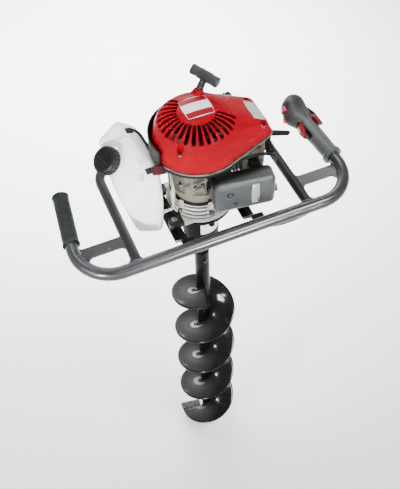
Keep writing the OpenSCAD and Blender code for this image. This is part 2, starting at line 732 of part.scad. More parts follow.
// plan of the fan case: a round fan end with straight flanks to the rounded tail
module cover_plan(r, g) {
  end_r = tail_r + g;
  fan = r + g;
  front = atan2(tail_front, tail_x) - acos((fan - end_r) / norm([tail_x, tail_front]));
  back = atan2(tail_back, tail_x) + acos((fan - end_r) / norm([tail_x, tail_back]));
  polygon(concat(
    arc_points([0, 0], fan, back, front + 360, 72),
    arc_points([tail_x, tail_front], end_r, front, 0, 12),
    arc_points([tail_x, tail_back], end_r, 0, back, 12)));
}

module fan_plate() color([0.80, 0.77, 0.70]) difference() {
  translate([0, 0, plate_z + 4]) linear_extrude(rim_z - plate_z - 4) cover_plan(cover_r, 1.2);
  translate([0, 0, plate_z]) cylinder(r = 20, h = 20);
  for (p = screw_at) translate([p[0], p[1], plate_z]) cylinder(r = 2.5, h = 20);
  translate([choke_at[0], choke_at[1], plate_z]) cylinder(r = choke_pin + shaft_fit, h = 20);
}

module fan_shroud() color([0.04, 0.04, 0.04]) difference() {
  union() {
    translate([0, 0, plate_z]) linear_extrude(4) cover_plan(cover_r, -2);
    translate([0, 1, plate_z]) cylinder(r = cover_r + 3.5, h = 4);
    translate([0, 1, plate_z]) rotate([0, 0, 104]) rotate_extrude(angle = 96, $fn = 128)
      translate([cover_r + 2.2, 0]) square([3, shroud_h]);
  }
  translate([0, 0, plate_z - 1]) cylinder(r = 20, h = 10);
  translate([0, 0, rim_z - 4.1]) linear_extrude(4.2) cover_plan(cover_r, 1.6);
  translate([0, 0, rim_z]) cylinder(r1 = cover_r + 0.6, r2 = cover_r - 3.4, h = 70);
  for (p = screw_at) translate([p[0], p[1], plate_z - 1]) cylinder(r = 2.5, h = 20);
  translate([choke_at[0], choke_at[1], plate_z - 1]) cylinder(r = choke_pin + shaft_fit, h = 20);
}

screw_at = [[-53, -53], [-40, 54], [117, -33], [112, 34]];
dome_share = [[0, 1], [0.294, 0.98], [0.565, 0.922], [0.729, 0.844], [0.847, 0.727], [0.918, 0.571], [0.965, 0.312]];
dome = [for (p = dome_share) [p[0] * cover_r, p[1] * dome_h]];

module dome_solid(g) {
  rotate_extrude($fn = 128) polygon(concat([[0, 0]], [for (p = dome) [max(0, p[0] - (p[0] > 0 ? g : 0)), p[1] - g]],
    [[cover_r - g, 0]]));
}

module tail_solid(g) {
  hull() {
    cylinder(r = cover_r - 1 - g, h = 1, $fn = 64);
    for (i = [3 : 6]) translate([0, 0, dome[i][1] - g - 1]) cylinder(r = dome[i][0] - 0.8 - g, h = 1, $fn = 64);
    for (y = [tail_front, tail_back]) {
      translate([tail_x, y, 0]) cylinder(r = tail_r - g, h = 1, $fn = 32);
      translate([tail_x - 4, y + (y > 0 ? -4 : 4), 17]) sphere(r = tail_r - 3 - g, $fn = 32);
    }
  }
}

module slot_cutters() {
  first = 118;
  span = 216;
  start = 0.41 * cover_r;
  end = 0.82 * cover_r;
  flare = 1.6;
  for (i = [0 : slot_n - 1]) rotate([0, 0, first + span * i / (slot_n - 1)]) translate([0, 0, 40]) linear_extrude(60)
    polygon([[start, -slot_w / 2], [end, -flare * slot_w / 2], [end, flare * slot_w / 2], [start, slot_w / 2]]);
}

nozzle_at = [24, 50, dome_z - 11];
pull_dir = unit([22, 6, 40]);
pull_tilt = acos(pull_dir[2]);
pull_swing = atan2(pull_dir[1], pull_dir[0]);

module on_pull() translate(nozzle_at) rotate([0, pull_tilt, pull_swing]) children();

// red moulded cover: slotted dome, tapered tail and rope spout in one shell
module starter_cover() color([0.90, 0.10, 0.12]) {
  cover_shell();
  translate([0, 0, pulley_z]) cylinder(r = post_r, h = dome_z - pulley_z - 1);
}

module cover_shell() difference() {
  union() {
    translate([0, 0, rim_z]) difference() {
      union() {
        dome_solid(0);
        tail_solid(0);
      }
      translate([0, 0, -eps]) dome_solid(cover_wall);
      translate([0, 0, -0.6]) tail_solid(cover_wall);
      slot_cutters();
    }
    translate([0, 0, rim_z]) intersection() {
      for (p = screw_at) translate([p[0], p[1], 0]) cylinder(r = 8, h = 80);
      union() {
        dome_solid(1);
        tail_solid(1);
      }
    }
    on_pull() translate([0, 0, -13]) cylinder(r1 = 16, r2 = 9, h = 22);
  }
  for (p = screw_at) translate([p[0], p[1], rim_z - 1]) cylinder(r = 2.5, h = 100);
  for (p = screw_at) translate([p[0], p[1], screw_top(p) - 2]) cylinder(r = 5.2, h = 60);
  on_pull() translate([0, 0, -30]) cylinder(r = 2.6, h = 60);
  translate([0, 0, wheel_z - 1]) cylinder(r = 56, h = 33);
  translate([0, 0, wheel_z + 32]) cylinder(r = 46, h = 24);
}

function screw_top(p) = p[0] > 0 ? rim_z + 19 : p[1] < 0 ? rim_z + 36 : rim_z + 42;

module cover_screws() color([0.80, 0.80, 0.80]) for (p = screw_at) translate([p[0], p[1], 0]) {
  translate([0, 0, plate_z]) cylinder(r = 2.5, h = screw_top(p) - plate_z - 2);
  difference() {
    translate([0, 0, screw_top(p) - 2]) cylinder(r = 4.6, h = 3.5);
    translate([0, 0, screw_top(p) - 0.5]) cylinder(r = 2.4, h = 3, $fn = 6);
  }
}

pulley_z = rim_z + 42;
post_r = 4;
pulley_h = 12;

// flat spiral strip above the pulley
module recoil_spring() color([0.45, 0.46, 0.48]) translate([0, 0, pulley_z + pulley_h + run_gap]) {
  coils = 4;
  inner = 9;
  gap = 3.2;
  strip = 0.8;
  steps = 24 * coils;
  linear_extrude(5) polygon(concat(
    [for (i = [0 : steps]) (inner + gap * i / 24) * [cos(15 * i), sin(15 * i)]],
    [for (i = [steps : -1 : 0]) (inner + strip + gap * i / 24) * [cos(15 * i), sin(15 * i)]]));
}

tank_r = 12;
tank_points = [[-96, 100, 1104], [-94, -14, 1104], [-116, 116, 1110], [-147, 110, 1090], [-149, 8, 1040],
  [-130, -14, 966], [-101, -24, 964], [-101, 100, 964], [-130, 100, 966], [-146, 100, 1034], [-99, -34, 1040]];
cap_at = [-151, 54, 1086];
cap_dir = unit([-56, -14, 70]);
cap_lift = 9;

module on_cap() translate(cap_at) rotate([0, acos(cap_dir[2]), atan2(cap_dir[1], cap_dir[0])]) children();

// blow-moulded translucent tank with filler neck
module fuel_tank() color([0.93, 0.93, 0.91]) difference() {
  union() {
    hull() for (p = tank_points) translate(p) sphere(r = tank_r, $fn = 32);
    on_cap() translate([0, 0, -16]) cylinder(r = cap_d / 2 - 6, h = 30);
    for (p = [[-138, 70, 1098], [-110, 8, 1106]]) translate(p) rotate([0, -30, 0]) cylinder(r = 5, h = 9);
    translate([-90, -30, 1004]) rotate([0, 90, 0]) cylinder(r = 3.4, h = 13);
  }
  hull() for (p = tank_points) translate(p) sphere(r = tank_r - 3, $fn = 24);
  on_cap() translate([0, 0, -40]) cylinder(r = cap_d / 2 - 9, h = 60);
}

module fuel_cap() color([0.07, 0.07, 0.07]) on_cap() translate([0, 0, cap_lift]) difference() {
  union() {
    cylinder(r = cap_d / 2, h = 18);
    translate([0, 0, 18]) cylinder(r1 = cap_d / 2, r2 = cap_d / 2 - 3, h = 2.4);
    for (i = [0 : 23]) rotate([0, 0, 15 * i]) translate([cap_d / 2, 0, 2]) cylinder(r = 1.6, h = 15, $fn = 16);
  }
  translate([0, 0, -1]) cylinder(r = cap_d / 2 - 6 + run_gap, h = 15 - cap_lift + run_gap);
  translate([0, 0, 17.6]) difference() {
    cylinder(r = cap_d / 2 - 6, h = 4);
    translate([-3, -cap_d / 2, -1]) cube([6, cap_d, 6]);
  }
}

// dark red tab on the crankcase that holds the tank's upper boss
module tank_bracket() color([0.34, 0.05, 0.06]) difference() {
  union() {
    translate([tab_at[0] - 20, tab_at[1] - 8, tab_at[2]]) cube([36, 16, 5]);
    translate([tab_at[0] - 46, tab_at[1] - 6, tab_at[2]]) cube([30, 12, 4]);
  }
  translate([tab_at[0], tab_at[1], tab_at[2] - 1]) cylinder(r = 2.8, h = 10);
  hull() for (p = tank_points) translate(p) sphere(r = tank_r, $fn = 32);
}

shelf_y = 10;
shelf_w = 32;
shelf_t = 4;

// angle shelf on the left carrier, under the tank
module tank_shelf() color([0.06, 0.06, 0.06]) {
  edge = -carrier_x - carrier_w / 2;
  floor = tank_points[6][2] - tank_r;
  translate([-128, shelf_y, floor - shelf_t]) cube([128 + edge, shelf_w, shelf_t]);
  translate([edge - shelf_t, shelf_y, floor - shelf_t]) cube([shelf_t, shelf_w, carrier_z + carrier_t - floor + shelf_t]);
}

hose_route = [[-76.9, -30, 1004], [-72, -30, 1004], [-68, -35, 1014], [-71, -45, 1034], [-71, -46, 1060],
  [-69, -42, 1080], [-64, -20, 1090], [-60, 10, 1096], [-56, 40, 1096], [-38, 60, 1096], [0, 68, 1092],
  [40, 73, 1086], [67, 74, 1081]];

module fuel_hose() color([0.80, 0.80, 0.70]) cord(smooth(hose_route, 4), 3, 8);

choke_at = [131, -14, 1108];
choke_pin = 4;

// thumb lever under the tail of the cover
module choke_lever() color([0.06, 0.06, 0.06]) translate(choke_at) {
  cylinder(r = choke_pin, h = rim_z - choke_at[2]);
  cylinder(r = 8, h = plate_z - run_gap - choke_at[2]);
  rotate([0, 14, -10]) linear_extrude(7) polygon([[0, -6], [48, -4], [53, 0], [48, 3], [0, 6]]);
}

pull_r = 8.6;
pull_end_r = 10.2;

// T-handle whose bar flares towards both ends
module starter_handle() color([0.22, 0.23, 0.24]) on_pull() {
  difference() {
    union() {
      translate([0, 0, 10.6]) cylinder(r1 = 7, r2 = 6, h = 22);
      rotate([0, 0, -70]) translate([0, 0, 36]) rotate([0, 90, 0]) {
        for (side = [0, 180]) rotate([side, 0, 0]) cylinder(r1 = pull_r, r2 = pull_end_r, h = pull_len / 2);
        translate([0, 0, -13]) cylinder(r = pull_end_r, h = 26);
      }
    }
    translate([0, 0, 10]) cylinder(r = 2.4, h = 12);
  }
}

module starter_rope() color([0.85, 0.85, 0.80]) on_pull() translate([0, 0, -3]) cylinder(r = 2, h = 22);

module starter_pulley() color([0.12, 0.12, 0.13]) translate([0, 0, pulley_z]) difference() {
  union() {
    cylinder(r = 36, h = 3);
    translate([0, 0, 3]) cylinder(r = 27, h = pulley_h - 6);
    translate([0, 0, pulley_h - 3]) cylinder(r = 36, h = 3);
    translate([0, 0, pulley_h]) cylinder(r = 7, h = 8);
  }
  translate([0, 0, -1]) cylinder(r = post_r + shaft_fit, h = 40);
}

module flywheel() color([0.62, 0.63, 0.64]) translate([0, 0, wheel_z]) difference() {
  union() {
    cylinder(r = 52, h = 12);
    for (i = [0 : 15]) rotate([0, 0, 22.5 * i]) translate([30, -1.5, 11]) cube([24, 3, 19]);
    cylinder(r = 32, h = 18);
    translate([0, 0, 18]) cylinder(r = 18, h = 10);
  }
  translate([0, 0, -1]) cylinder(r = 8, h = 60);
}

module crankshaft() color([0.60, 0.61, 0.62]) {
  translate([0, 0, rotor_z - 4]) cylinder(r = 8, h = wheel_z + 30 - rotor_z + 4);
  translate([0, 0, wheel_z + 28]) cylinder(r = 11, h = 7, $fn = 6);
}

// hub, two shoes and spring ring of the centrifugal clutch
module clutch_rotor() color([0.50, 0.45, 0.38]) translate([0, 0, rotor_z]) difference() {
  union() {
    cylinder(r = 14, h = 22);
    for (a = [0, 180]) rotate([0, 0, a]) intersection() {
      difference() {
        cylinder(r = drum_r - 1, h = 18);
        translate([0, 0, -1]) cylinder(r = 18, h = 30);
      }
      translate([-40, 3, 0]) cube([80, 60, 30]);
    }
    translate([-26, -3.01, 3]) cube([52, 6.02, 12]);
  }
  translate([0, 0, -1]) cylinder(r = 8, h = 40);
}

module clutch_drum() color([0.48, 0.49, 0.50]) {
  difference() {
    union() {
      translate([0, 0, bell_z + 14]) cylinder(r = drum_r + 3, h = 40);
      translate([0, 0, stage1_z + gear_w + 2]) cylinder(r = 6, h = bell_z + 16 - stage1_z - gear_w - 2);
    }
    translate([0, 0, bell_z + 17]) cylinder(r = drum_r, h = 60);
  }
  rotate([0, 0, 90]) translate([0, 0, stage1_z - pinion_over]) gear(pinion_n, gear_w + 2 * pinion_over, 0);
}

module layshaft() color([0.58, 0.58, 0.57]) translate([0, centre, 0]) {
  translate([0, 0, gearbox_z - 2]) cylinder(r = 4.6, h = stage1_z - gearbox_z + 4);
  translate([0, 0, gearbox_z - 2]) cylinder(r = 5, h = stage2_z - pinion_over - gearbox_z + 2);
  translate([0, 0, stage1_z + 2]) cylinder(r = 5, h = bell_z + 4 - stage1_z);
  translate([0, 0, stage2_z + gear_w + pinion_over]) cylinder(r = 9, h = stage1_z - stage2_z - gear_w - pinion_over + 1);
  rotate([0, 0, -90]) translate([0, 0, stage2_z - pinion_over]) gear(pinion_n, gear_w + 2 * pinion_over, 0);
  rotate([0, 0, -90 + 180 / gear_n]) translate([0, 0, stage1_z]) gear(gear_n, gear_w, 0.12);
}

module output_shaft() color([0.55, 0.56, 0.57]) {
  rotate([0, 0, 90 + 180 / gear_n]) translate([0, 0, stage2_z]) gear(gear_n, gear_w, 0.12);
  translate([0, 0, gearbox_z + 12]) cylinder(r = 16, h = stage2_z - gearbox_z - 12);
  difference() {
    union() {
      translate([0, 0, bit_top_z]) cylinder(r = shaft_r, h = gearbox_z + 12 - bit_top_z);
      translate([0, 0, bit_top_z - 55]) cylinder(r = socket_r - socket_gap, h = 55);
    }
    translate([0, -40, pin_z]) rotate([-90, 0, 0]) cylinder(r = pin_r + socket_gap, h = 80);
  }
}

module bit_tube() color([0.14, 0.15, 0.16]) difference() {
  translate([0, 0, pilot_z]) cylinder(r = bit_tube_r, h = bit_top_z - pilot_z);
  translate([0, 0, bit_top_z - 60]) cylinder(r = socket_r, h = 70);
  translate([0, -40, pin_z]) rotate([-90, 0, 0]) cylinder(r = pin_r + socket_gap, h = 80);
}

module drive_pin() color([0.66, 0.67, 0.68]) translate([0, -bit_tube_r - 4, pin_z]) rotate([-90, 0, 0]) cylinder(r = pin_r, h = bit_tube_d + 8);

// continuous right-hand helicoid
module helicoid(from_z, count, phase) {
  n = round(count * flight_steps);
  inner = bit_tube_r / cos(180 / flight_steps) + eps;
  pts = [for (i = [0 : n]) let (a = phase + 360 * i / flight_steps, z = from_z + pitch * i / flight_steps)
    each [[inner * cos(a), inner * sin(a), z], [bit_r * cos(a), bit_r * sin(a), z],
      [bit_r * cos(a), bit_r * sin(a), z + flight_t], [inner * cos(a), inner * sin(a), z + flight_t]]];
  body = [for (i = [0 : n - 1]) for (k = [0 : 3])
    let (a = 4 * i + k, b = 4 * i + (k + 1) % 4) each [[a, a + 4, b + 4], [a, b + 4, b]]];
  polyhedron(pts, concat(body, [[0, 1, 2, 3], [4 * n + 3, 4 * n + 2, 4 * n + 1, 4 * n]]), convexity = 20);
}

module bit_flight() color([0.13, 0.14, 0.15]) helicoid(flight_z, turns, flight_phase);

// fishtail centre point
module pilot_point() color([0.16, 0.17, 0.18]) {
  translate([0, 0, 4]) cylinder(r1 = 2, r2 = 11, h = pilot_z - 4);
  translate([0, 3, 0]) rotate([90, 0, 0]) linear_extrude(6)
    polygon([[0, 0], [15, 30], [15, pilot_z], [-15, pilot_z], [-15, 30]]);
}

// wedge blade that leads the flight
module cutting_blade() color([0.45, 0.46, 0.47]) {
  blade_len = bit_r + 2 - bit_tube_r - 5;
  rotate([0, 0, flight_phase]) translate([bit_tube_r + 5, 0, flight_z]) rotate([90, 0, 90])
    linear_extrude(blade_len) polygon([[0, 0], [0, flight_t], [-26, -9], [-30, -14]]);
}

module throttle_trigger() color([0.80, 0.08, 0.10]) on_handle() {
  translate([0, trigger_w / 2 + trigger_pivot[1], 0]) rotate([90, 0, 0]) linear_extrude(trigger_w) polygon([
    [-9, 184], [-9, 190], [-18, 190], [-24, 184], [-28, 172], [-26, 158], [-22, 154], [-19, 166], [-14, 178]]);
  trigger_pin(pivot_r, pivot_reach);
}

module throttle_lock() color([0.80, 0.08, 0.10]) on_handle() {
  translate([lock_pivot[0] - lock_w / 2, 0, 0]) rotate([90, 0, 90]) linear_extrude(lock_w) polygon([
    [-14, 184], [-16, 191], [-22, 191], [-26, 180], [-26, 164], [-22, 157], [-19, 163], [-18, 176]]);
  lock_pin(pivot_r, pivot_reach);
}

module stop_switch() color([0.95, 0.35, 0.42]) on_handle() translate(switch_at) rotate([0, switch_turn, 0])
  translate([-6.5, -6.5, -6]) cube([13, 13, 12]);

module start_button() color([0.95, 0.30, 0.18]) on_handle() translate(button_at) rotate([0, -80, 0])
  translate([0, 0, -6]) cylinder(r = 5, h = 13);

front_tube();
rear_tube();
brace_strips();
tube_gusset();
engine_carriers();
rubber_buffers();
carrier_bolts();
left_grip();
handle_inner_shell();
handle_outer_shell();
handle_screws();
gearbox_housing();
clutch_housing();
housing_screws();
ball_bearings();
layshaft_bushes();
crankcase();
engine_cylinder();
spark_plug();
plug_boot();
plug_lead();
ignition_coil();
muffler();
muffler_bolts();
exhaust_pipe();
carburettor();
intake_insulator();
air_filter_base();
air_filter_element();
air_filter_cover();
fan_plate();
fan_shroud();
starter_cover();
cover_screws();
recoil_spring();
fuel_tank();
tank_bracket();
tank_shelf();
fuel_hose();
fuel_cap();
choke_lever();
starter_handle();
starter_rope();
starter_pulley();
flywheel();
crankshaft();
clutch_rotor();
clutch_drum();
layshaft();
output_shaft();
bit_tube();
drive_pin();
bit_flight();
pilot_point();
cutting_blade();
throttle_trigger();
throttle_lock();
stop_switch();
start_button();
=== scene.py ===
# %% [markdown]
# # An earth auger, dressed for a studio picture
#
# The solids of the auger come ready made from the CAD model, each in its own node. This lesson
# loads them, sets a camera and lights, writes the finishes as shader nodes, and then models the
# pieces whose real surface is softer or finer than a CAD solid. Lengths are in metres, unless a
# name, a comment or a docstring says millimetres.

# %% load the frame
import bpy
import bmesh
import json
import math
from mathutils import Matrix, Vector
from mathutils.bvhtree import BVHTree

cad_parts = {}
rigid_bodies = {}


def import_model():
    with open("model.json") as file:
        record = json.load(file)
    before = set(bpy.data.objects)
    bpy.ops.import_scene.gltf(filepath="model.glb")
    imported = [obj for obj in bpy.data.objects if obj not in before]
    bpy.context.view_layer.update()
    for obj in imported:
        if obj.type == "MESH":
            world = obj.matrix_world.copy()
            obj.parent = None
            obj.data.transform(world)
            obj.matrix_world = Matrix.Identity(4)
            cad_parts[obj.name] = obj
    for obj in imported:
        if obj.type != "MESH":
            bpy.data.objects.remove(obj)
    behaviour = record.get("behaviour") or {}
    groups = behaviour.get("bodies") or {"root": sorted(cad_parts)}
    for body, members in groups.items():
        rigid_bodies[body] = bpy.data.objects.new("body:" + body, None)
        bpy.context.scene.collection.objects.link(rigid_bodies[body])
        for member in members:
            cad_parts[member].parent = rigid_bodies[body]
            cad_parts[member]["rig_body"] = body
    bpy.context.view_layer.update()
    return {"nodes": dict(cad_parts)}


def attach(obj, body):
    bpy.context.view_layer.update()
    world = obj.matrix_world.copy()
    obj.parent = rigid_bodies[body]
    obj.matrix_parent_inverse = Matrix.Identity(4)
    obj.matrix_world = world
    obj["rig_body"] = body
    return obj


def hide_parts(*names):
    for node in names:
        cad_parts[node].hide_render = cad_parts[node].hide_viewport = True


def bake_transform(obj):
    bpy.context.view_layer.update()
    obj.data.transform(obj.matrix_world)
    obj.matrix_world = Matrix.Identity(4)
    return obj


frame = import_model()
nodes = frame["nodes"]

# %% [markdown]
# ## Camera
#
# The picture looks down on the engine from the front left. The camera's place was fitted to the
# frame, the bit and the engine, so it is written here as a position and three angles. A camera
# could also be aimed with a Track To constraint, but a plain matrix is exact.

# %% camera
CAMERA_AT = (-0.3621, -0.9290, 2.0979)
AZIMUTH, ELEVATION, ROLL = -21.111, 52.023, -2.462
FOCAL_PX, LONG_SIDE_PX, SENSOR_MM = 747.352, 489, 36
UP = Vector((0, 0, 1))


def look(azimuth, elevation, roll):
    """Turn of a camera that looks down from azimuth and elevation, tilted by roll (degrees)."""
    az, el, tilt = (math.radians(v) for v in (azimuth, elevation, roll))
    back = Vector((math.sin(az) * math.cos(el), -math.cos(az) * math.cos(el), math.sin(el)))
    right = (-back).cross(UP).normalized()
    up = back.cross(right)
    side = math.cos(tilt) * right + math.sin(tilt) * up
    top = -math.sin(tilt) * right + math.cos(tilt) * up
    return Matrix((side, top, back)).transposed().to_4x4()


camera = bpy.data.objects.new("camera", bpy.data.cameras.new("camera"))
camera.data.sensor_width = SENSOR_MM
camera.data.lens = FOCAL_PX / LONG_SIDE_PX * SENSOR_MM
camera.matrix_world = Matrix.Translation(CAMERA_AT) @ look(AZIMUTH, ELEVATION, ROLL)
bpy.context.collection.objects.link(camera)
bpy.context.scene.camera = camera
print("lens:", round(camera.data.lens, 2), "mm")

# %% [markdown]
# ## Node helpers
#
# Finishes, the sky and the Geometry Nodes below are all node trees. Wiring a tree in the editor is
# easy to see but hard to repeat, so a few helpers add nodes and plug their sockets by name.

# %% node helpers
def plug(tree, socket, value):
    """Link a socket to another node's output, or store a plain value in it."""
    if isinstance(value, bpy.types.NodeSocket):
        tree.links.new(value, socket)
    else:
        socket.default_value = value


def feed(tree, node, **inputs):
    """Plug a node's sockets by name, with underscores for spaces."""
    for key, value in inputs.items():
        plug(tree, node.inputs[key.replace("_", " ")], value)


def add(tree, node_type, settings=None, **inputs):
    """Add a node, set its properties and plug its sockets; gives its outputs."""
    node = tree.nodes.new(node_type)
    for key, value in (settings or {}).items():
        setattr(node, key, value)
    feed(tree, node, **inputs)
    return node.outputs


def calc(tree, operation, first, second=0.0):
    """One math node."""
    node = tree.nodes.new("ShaderNodeMath")
    node.operation = operation
    for socket, value in zip(node.inputs, (first, second)):
        plug(tree, socket, value)
    return node.outputs[0]


# %% [markdown]
# ## Floor and light
#
# A product picture of this kind has an almost white ground and broad soft lights. A lamp behind
# the object shines straight down, so the ground there is white. Area lights as large as the object
# give soft shadows, where point lights would give hard ones. Four narrow lamps put highlights on
# the bit, the front bar, its right bend and the tank. A pale sky fills the rest; it is brightest
# behind the object and dim at its sides and overhead, which gives black gloss its depth.

# %% floor
def link(name, mesh):
    """Put a mesh in the scene as an object at the origin."""
    piece = bpy.data.objects.new(name, mesh)
    bpy.context.collection.objects.link(piece)
    return piece


def plain_shader(name):
    """A new node material; gives the material, its node tree and its main shader."""
    material = bpy.data.materials.new(name)
    material.use_nodes = True
    return material, material.node_tree, material.node_tree.nodes["Principled BSDF"]


FLOOR = 40
floor_corners = [(-FLOOR, -FLOOR, 0), (FLOOR, -FLOOR, 0), (FLOOR, FLOOR, 0), (-FLOOR, FLOOR, 0)]
floor_mesh = bpy.data.meshes.new("floor")
floor_mesh.from_pydata(floor_corners, [], [(0, 1, 2, 3)])
floor = link("floor", floor_mesh)
floor_paint, floor_tree, floor_shader = plain_shader("floor_paint")
feed(floor_tree, floor_shader, Base_Color=(0.94, 0.94, 0.94, 1), Roughness=0.9,
     Emission_Color=(1, 1, 1, 1), Emission_Strength=0.7)
floor_mesh.materials.append(floor_paint)
print("floor:", 2 * FLOOR, "m wide")

# %% lamps
def soft_box(name, place, target, size, watts, spread):
    """A square area light at place that shines at target, within a cone of spread degrees."""
    lamp = bpy.data.lights.new(name, "AREA")
    lamp.shape, lamp.size, lamp.energy, lamp.spread = "SQUARE", size, watts, math.radians(spread)
    holder = bpy.data.objects.new(name, lamp)
    holder.location = place
    holder.rotation_euler = (Vector(target) - Vector(place)).to_track_quat("-Z", "Y").to_euler()
    bpy.context.collection.objects.link(holder)


ENGINE = (0, 0, 1.05)
LAMPS = [  # name, place, target, size, watts, spread
    ("key", (0.9, -1.1, 3.2), ENGINE, 0.8, 72, 180),
    ("fill", (-2.4, -1.0, 2.2), ENGINE, 1.6, 12, 180),
    ("rim", (0.6, 2.6, 2.4), ENGINE, 1.4, 34, 180),
    ("bit_lamp", (-1.9, -0.75, 1.8), (0, 0, 0.35), 0.42, 0.7, 18),
    ("bar_lamp", (0.7, -2.6, 1.7), (0.03, -0.14, 0.95), 0.4, 0.62, 9),
    ("bend_lamp", (1.1, 1.0, 2.4), (0.25, -0.06, 1.0), 0.5, 0.04, 14),
    ("tank_lamp", (-1.3, -1.3, 1.7), (-0.13, 0.03, 1.04), 0.25, 0.8, 12),
    ("ground", (0.3, 1.7, 2.8), (0.3, 1.7, 0), 2.2, 100, 56),
]
for lamp_line in LAMPS:
    soft_box(*lamp_line)
print("lamps:", len(LAMPS))

# %% sky
HORIZON, OVERHEAD = 0.9, 0.22
ALL_ROUND, FRONT_AND_BACK, BEHIND = 0.35, 0.55, 0.9
world = bpy.context.scene.world or bpy.data.worlds.new("world")
bpy.context.scene.world = world
world.use_nodes = True
sky = world.node_tree
towards = add(sky, "ShaderNodeSeparateXYZ", Vector=add(sky, "ShaderNodeTexCoord")["Generated"])
dimmed = add(sky, "ShaderNodeMapRange", Value=towards["Z"], From_Min=0.1, From_Max=0.9,
             To_Min=HORIZON, To_Max=OVERHEAD)["Result"]
lengthwise = calc(sky, "MULTIPLY", calc(sky, "ABSOLUTE", towards["Y"]), FRONT_AND_BACK)
behind = calc(sky, "MULTIPLY", calc(sky, "MAXIMUM", towards["Y"], 0.0), BEHIND)
bright = calc(sky, "ADD", ALL_ROUND, calc(sky, "ADD", lengthwise, behind))
feed(sky, sky.nodes["Background"], Color=(1, 1, 1, 1),
     Strength=calc(sky, "MULTIPLY", dimmed, bright))
print("sky nodes:", len(sky.nodes))

# %% [markdown]
# ## Finishes
#
# Every finish has the same skeleton: a base colour that drifts a little from place to place, a
# grain that roughens and dents the surface, and a gloss. One helper wires that skeleton, so that
# each finish below is one call; special finishes add their own nodes after it. All patterns read
# Object coordinates, so they stay on the piece when it moves.

# %% finish helper
GRAIN_DEPTH, GRAIN_DETAIL = 0.0004, 2.0


def noise_at(tree, scale, detail=3.0):
    """Noise on the piece's own coordinates; scale is in patches per metre."""
    where = add(tree, "ShaderNodeTexCoord")["Object"]
    return add(tree, "ShaderNodeTexNoise", Vector=where, Scale=scale, Detail=detail)["Fac"]


def ramp(tree, factor, low, high, at=(0.35, 0.65)):
    """Colour ramp between two colours."""
    node = tree.nodes.new("ShaderNodeValToRGB")
    feed(tree, node, Fac=factor)
    for stop, position, colour in zip(node.color_ramp.elements, at, (low, high)):
        stop.position, stop.color = position, colour + (1,)
    return node.outputs["Color"]


def span(tree, value, low, high):
    """Map a noise value, which lies mostly between 0.3 and 0.7, to the range low-high."""
    return add(tree, "ShaderNodeMapRange", Value=value, From_Min=0.3, From_Max=0.7,
               To_Min=low, To_Max=high)["Result"]


def finish(name, dark, light, rough, drift, grain, dent, metal=0.0, specular=0.5):
    """Colour that drifts from dark to light, roughness in a range, and a fine dented grain."""
    material, tree, shader = plain_shader(name)
    bump = add(tree, "ShaderNodeBump", Height=noise_at(tree, grain, GRAIN_DETAIL), Strength=dent,
               Distance=GRAIN_DEPTH)
    feed(tree, shader, Metallic=metal, Specular_IOR_Level=specular, Normal=bump["Normal"],
         Base_Color=ramp(tree, noise_at(tree, drift), dark, light),
         Roughness=span(tree, noise_at(tree, drift * 3), *rough))
    return material


# %% [markdown]
# The frame is sprayed a dark metallic grey, the stem and the carriers black, and the tank's bracket
# dark red. Castings are bare or painted alloy, and screws and shafts are bright steel. One flat
# colour would look like a toy, so each has its own drift, grain and gloss.

# %% metal and paint finishes
frame_paint = finish("frame_paint", (0.066, 0.068, 0.073), (0.08, 0.082, 0.087), (0.22, 0.28),
                     drift=14, grain=1400, dent=0.03, metal=0.6)
# The rear loop takes a much darker copy of the frame paint: painted shade cast by the tank and the
# engine.
loop_paint = finish("loop_paint", (0.016, 0.016, 0.017), (0.02, 0.02, 0.021), (0.3, 0.34),
                    drift=14, grain=1400, dent=0.03, metal=0.4)
stem_paint = finish("stem_paint", (0.004, 0.004, 0.0045), (0.007, 0.007, 0.0075), (0.2, 0.28),
                    drift=30, grain=1300, dent=0.05, specular=0.08)
carrier_paint = finish("carrier_paint", (0.005, 0.005, 0.006), (0.009, 0.009, 0.01), (0.34, 0.44),
                       drift=30, grain=1300, dent=0.12, specular=0.15)
cast_alloy = finish("cast_alloy", (0.115, 0.104, 0.08), (0.24, 0.222, 0.18), (0.42, 0.6),
                    drift=60, grain=1700, dent=0.4, metal=0.2, specular=0.3)
bell_alloy = finish("bell_alloy", (0.5, 0.48, 0.46), (0.66, 0.64, 0.62), (0.35, 0.5),
                    drift=40, grain=1700, dent=0.3, metal=0.3)
gear_alloy = finish("gear_alloy", (0.003, 0.003, 0.003), (0.005, 0.005, 0.006), (0.42, 0.56),
                    drift=40, grain=1500, dent=0.3, specular=0.06)
bright_steel = finish("bright_steel", (0.36, 0.36, 0.37), (0.5, 0.5, 0.51), (0.18, 0.3),
                      drift=90, grain=2500, dent=0.08, metal=1.0)
blade_steel = finish("blade_steel", (0.03, 0.03, 0.032), (0.07, 0.07, 0.073), (0.22, 0.36),
                     drift=70, grain=1500, dent=0.2, metal=0.6)
bracket_paint = finish("bracket_paint", (0.04, 0.001, 0.005), (0.065, 0.002, 0.008), (0.35, 0.45),
                       drift=40, grain=1200, dent=0.1, specular=0.3)
print("finishes:", len(bpy.data.materials))

# %% [markdown]
# The cover and the switches are moulded plastic, the grip and the boots duller rubber, the hose
# clear vinyl and the rope fibre. A low specular level keeps the reds and blacks deep under bright
# lamps; a darker colour alone would only look dirty.

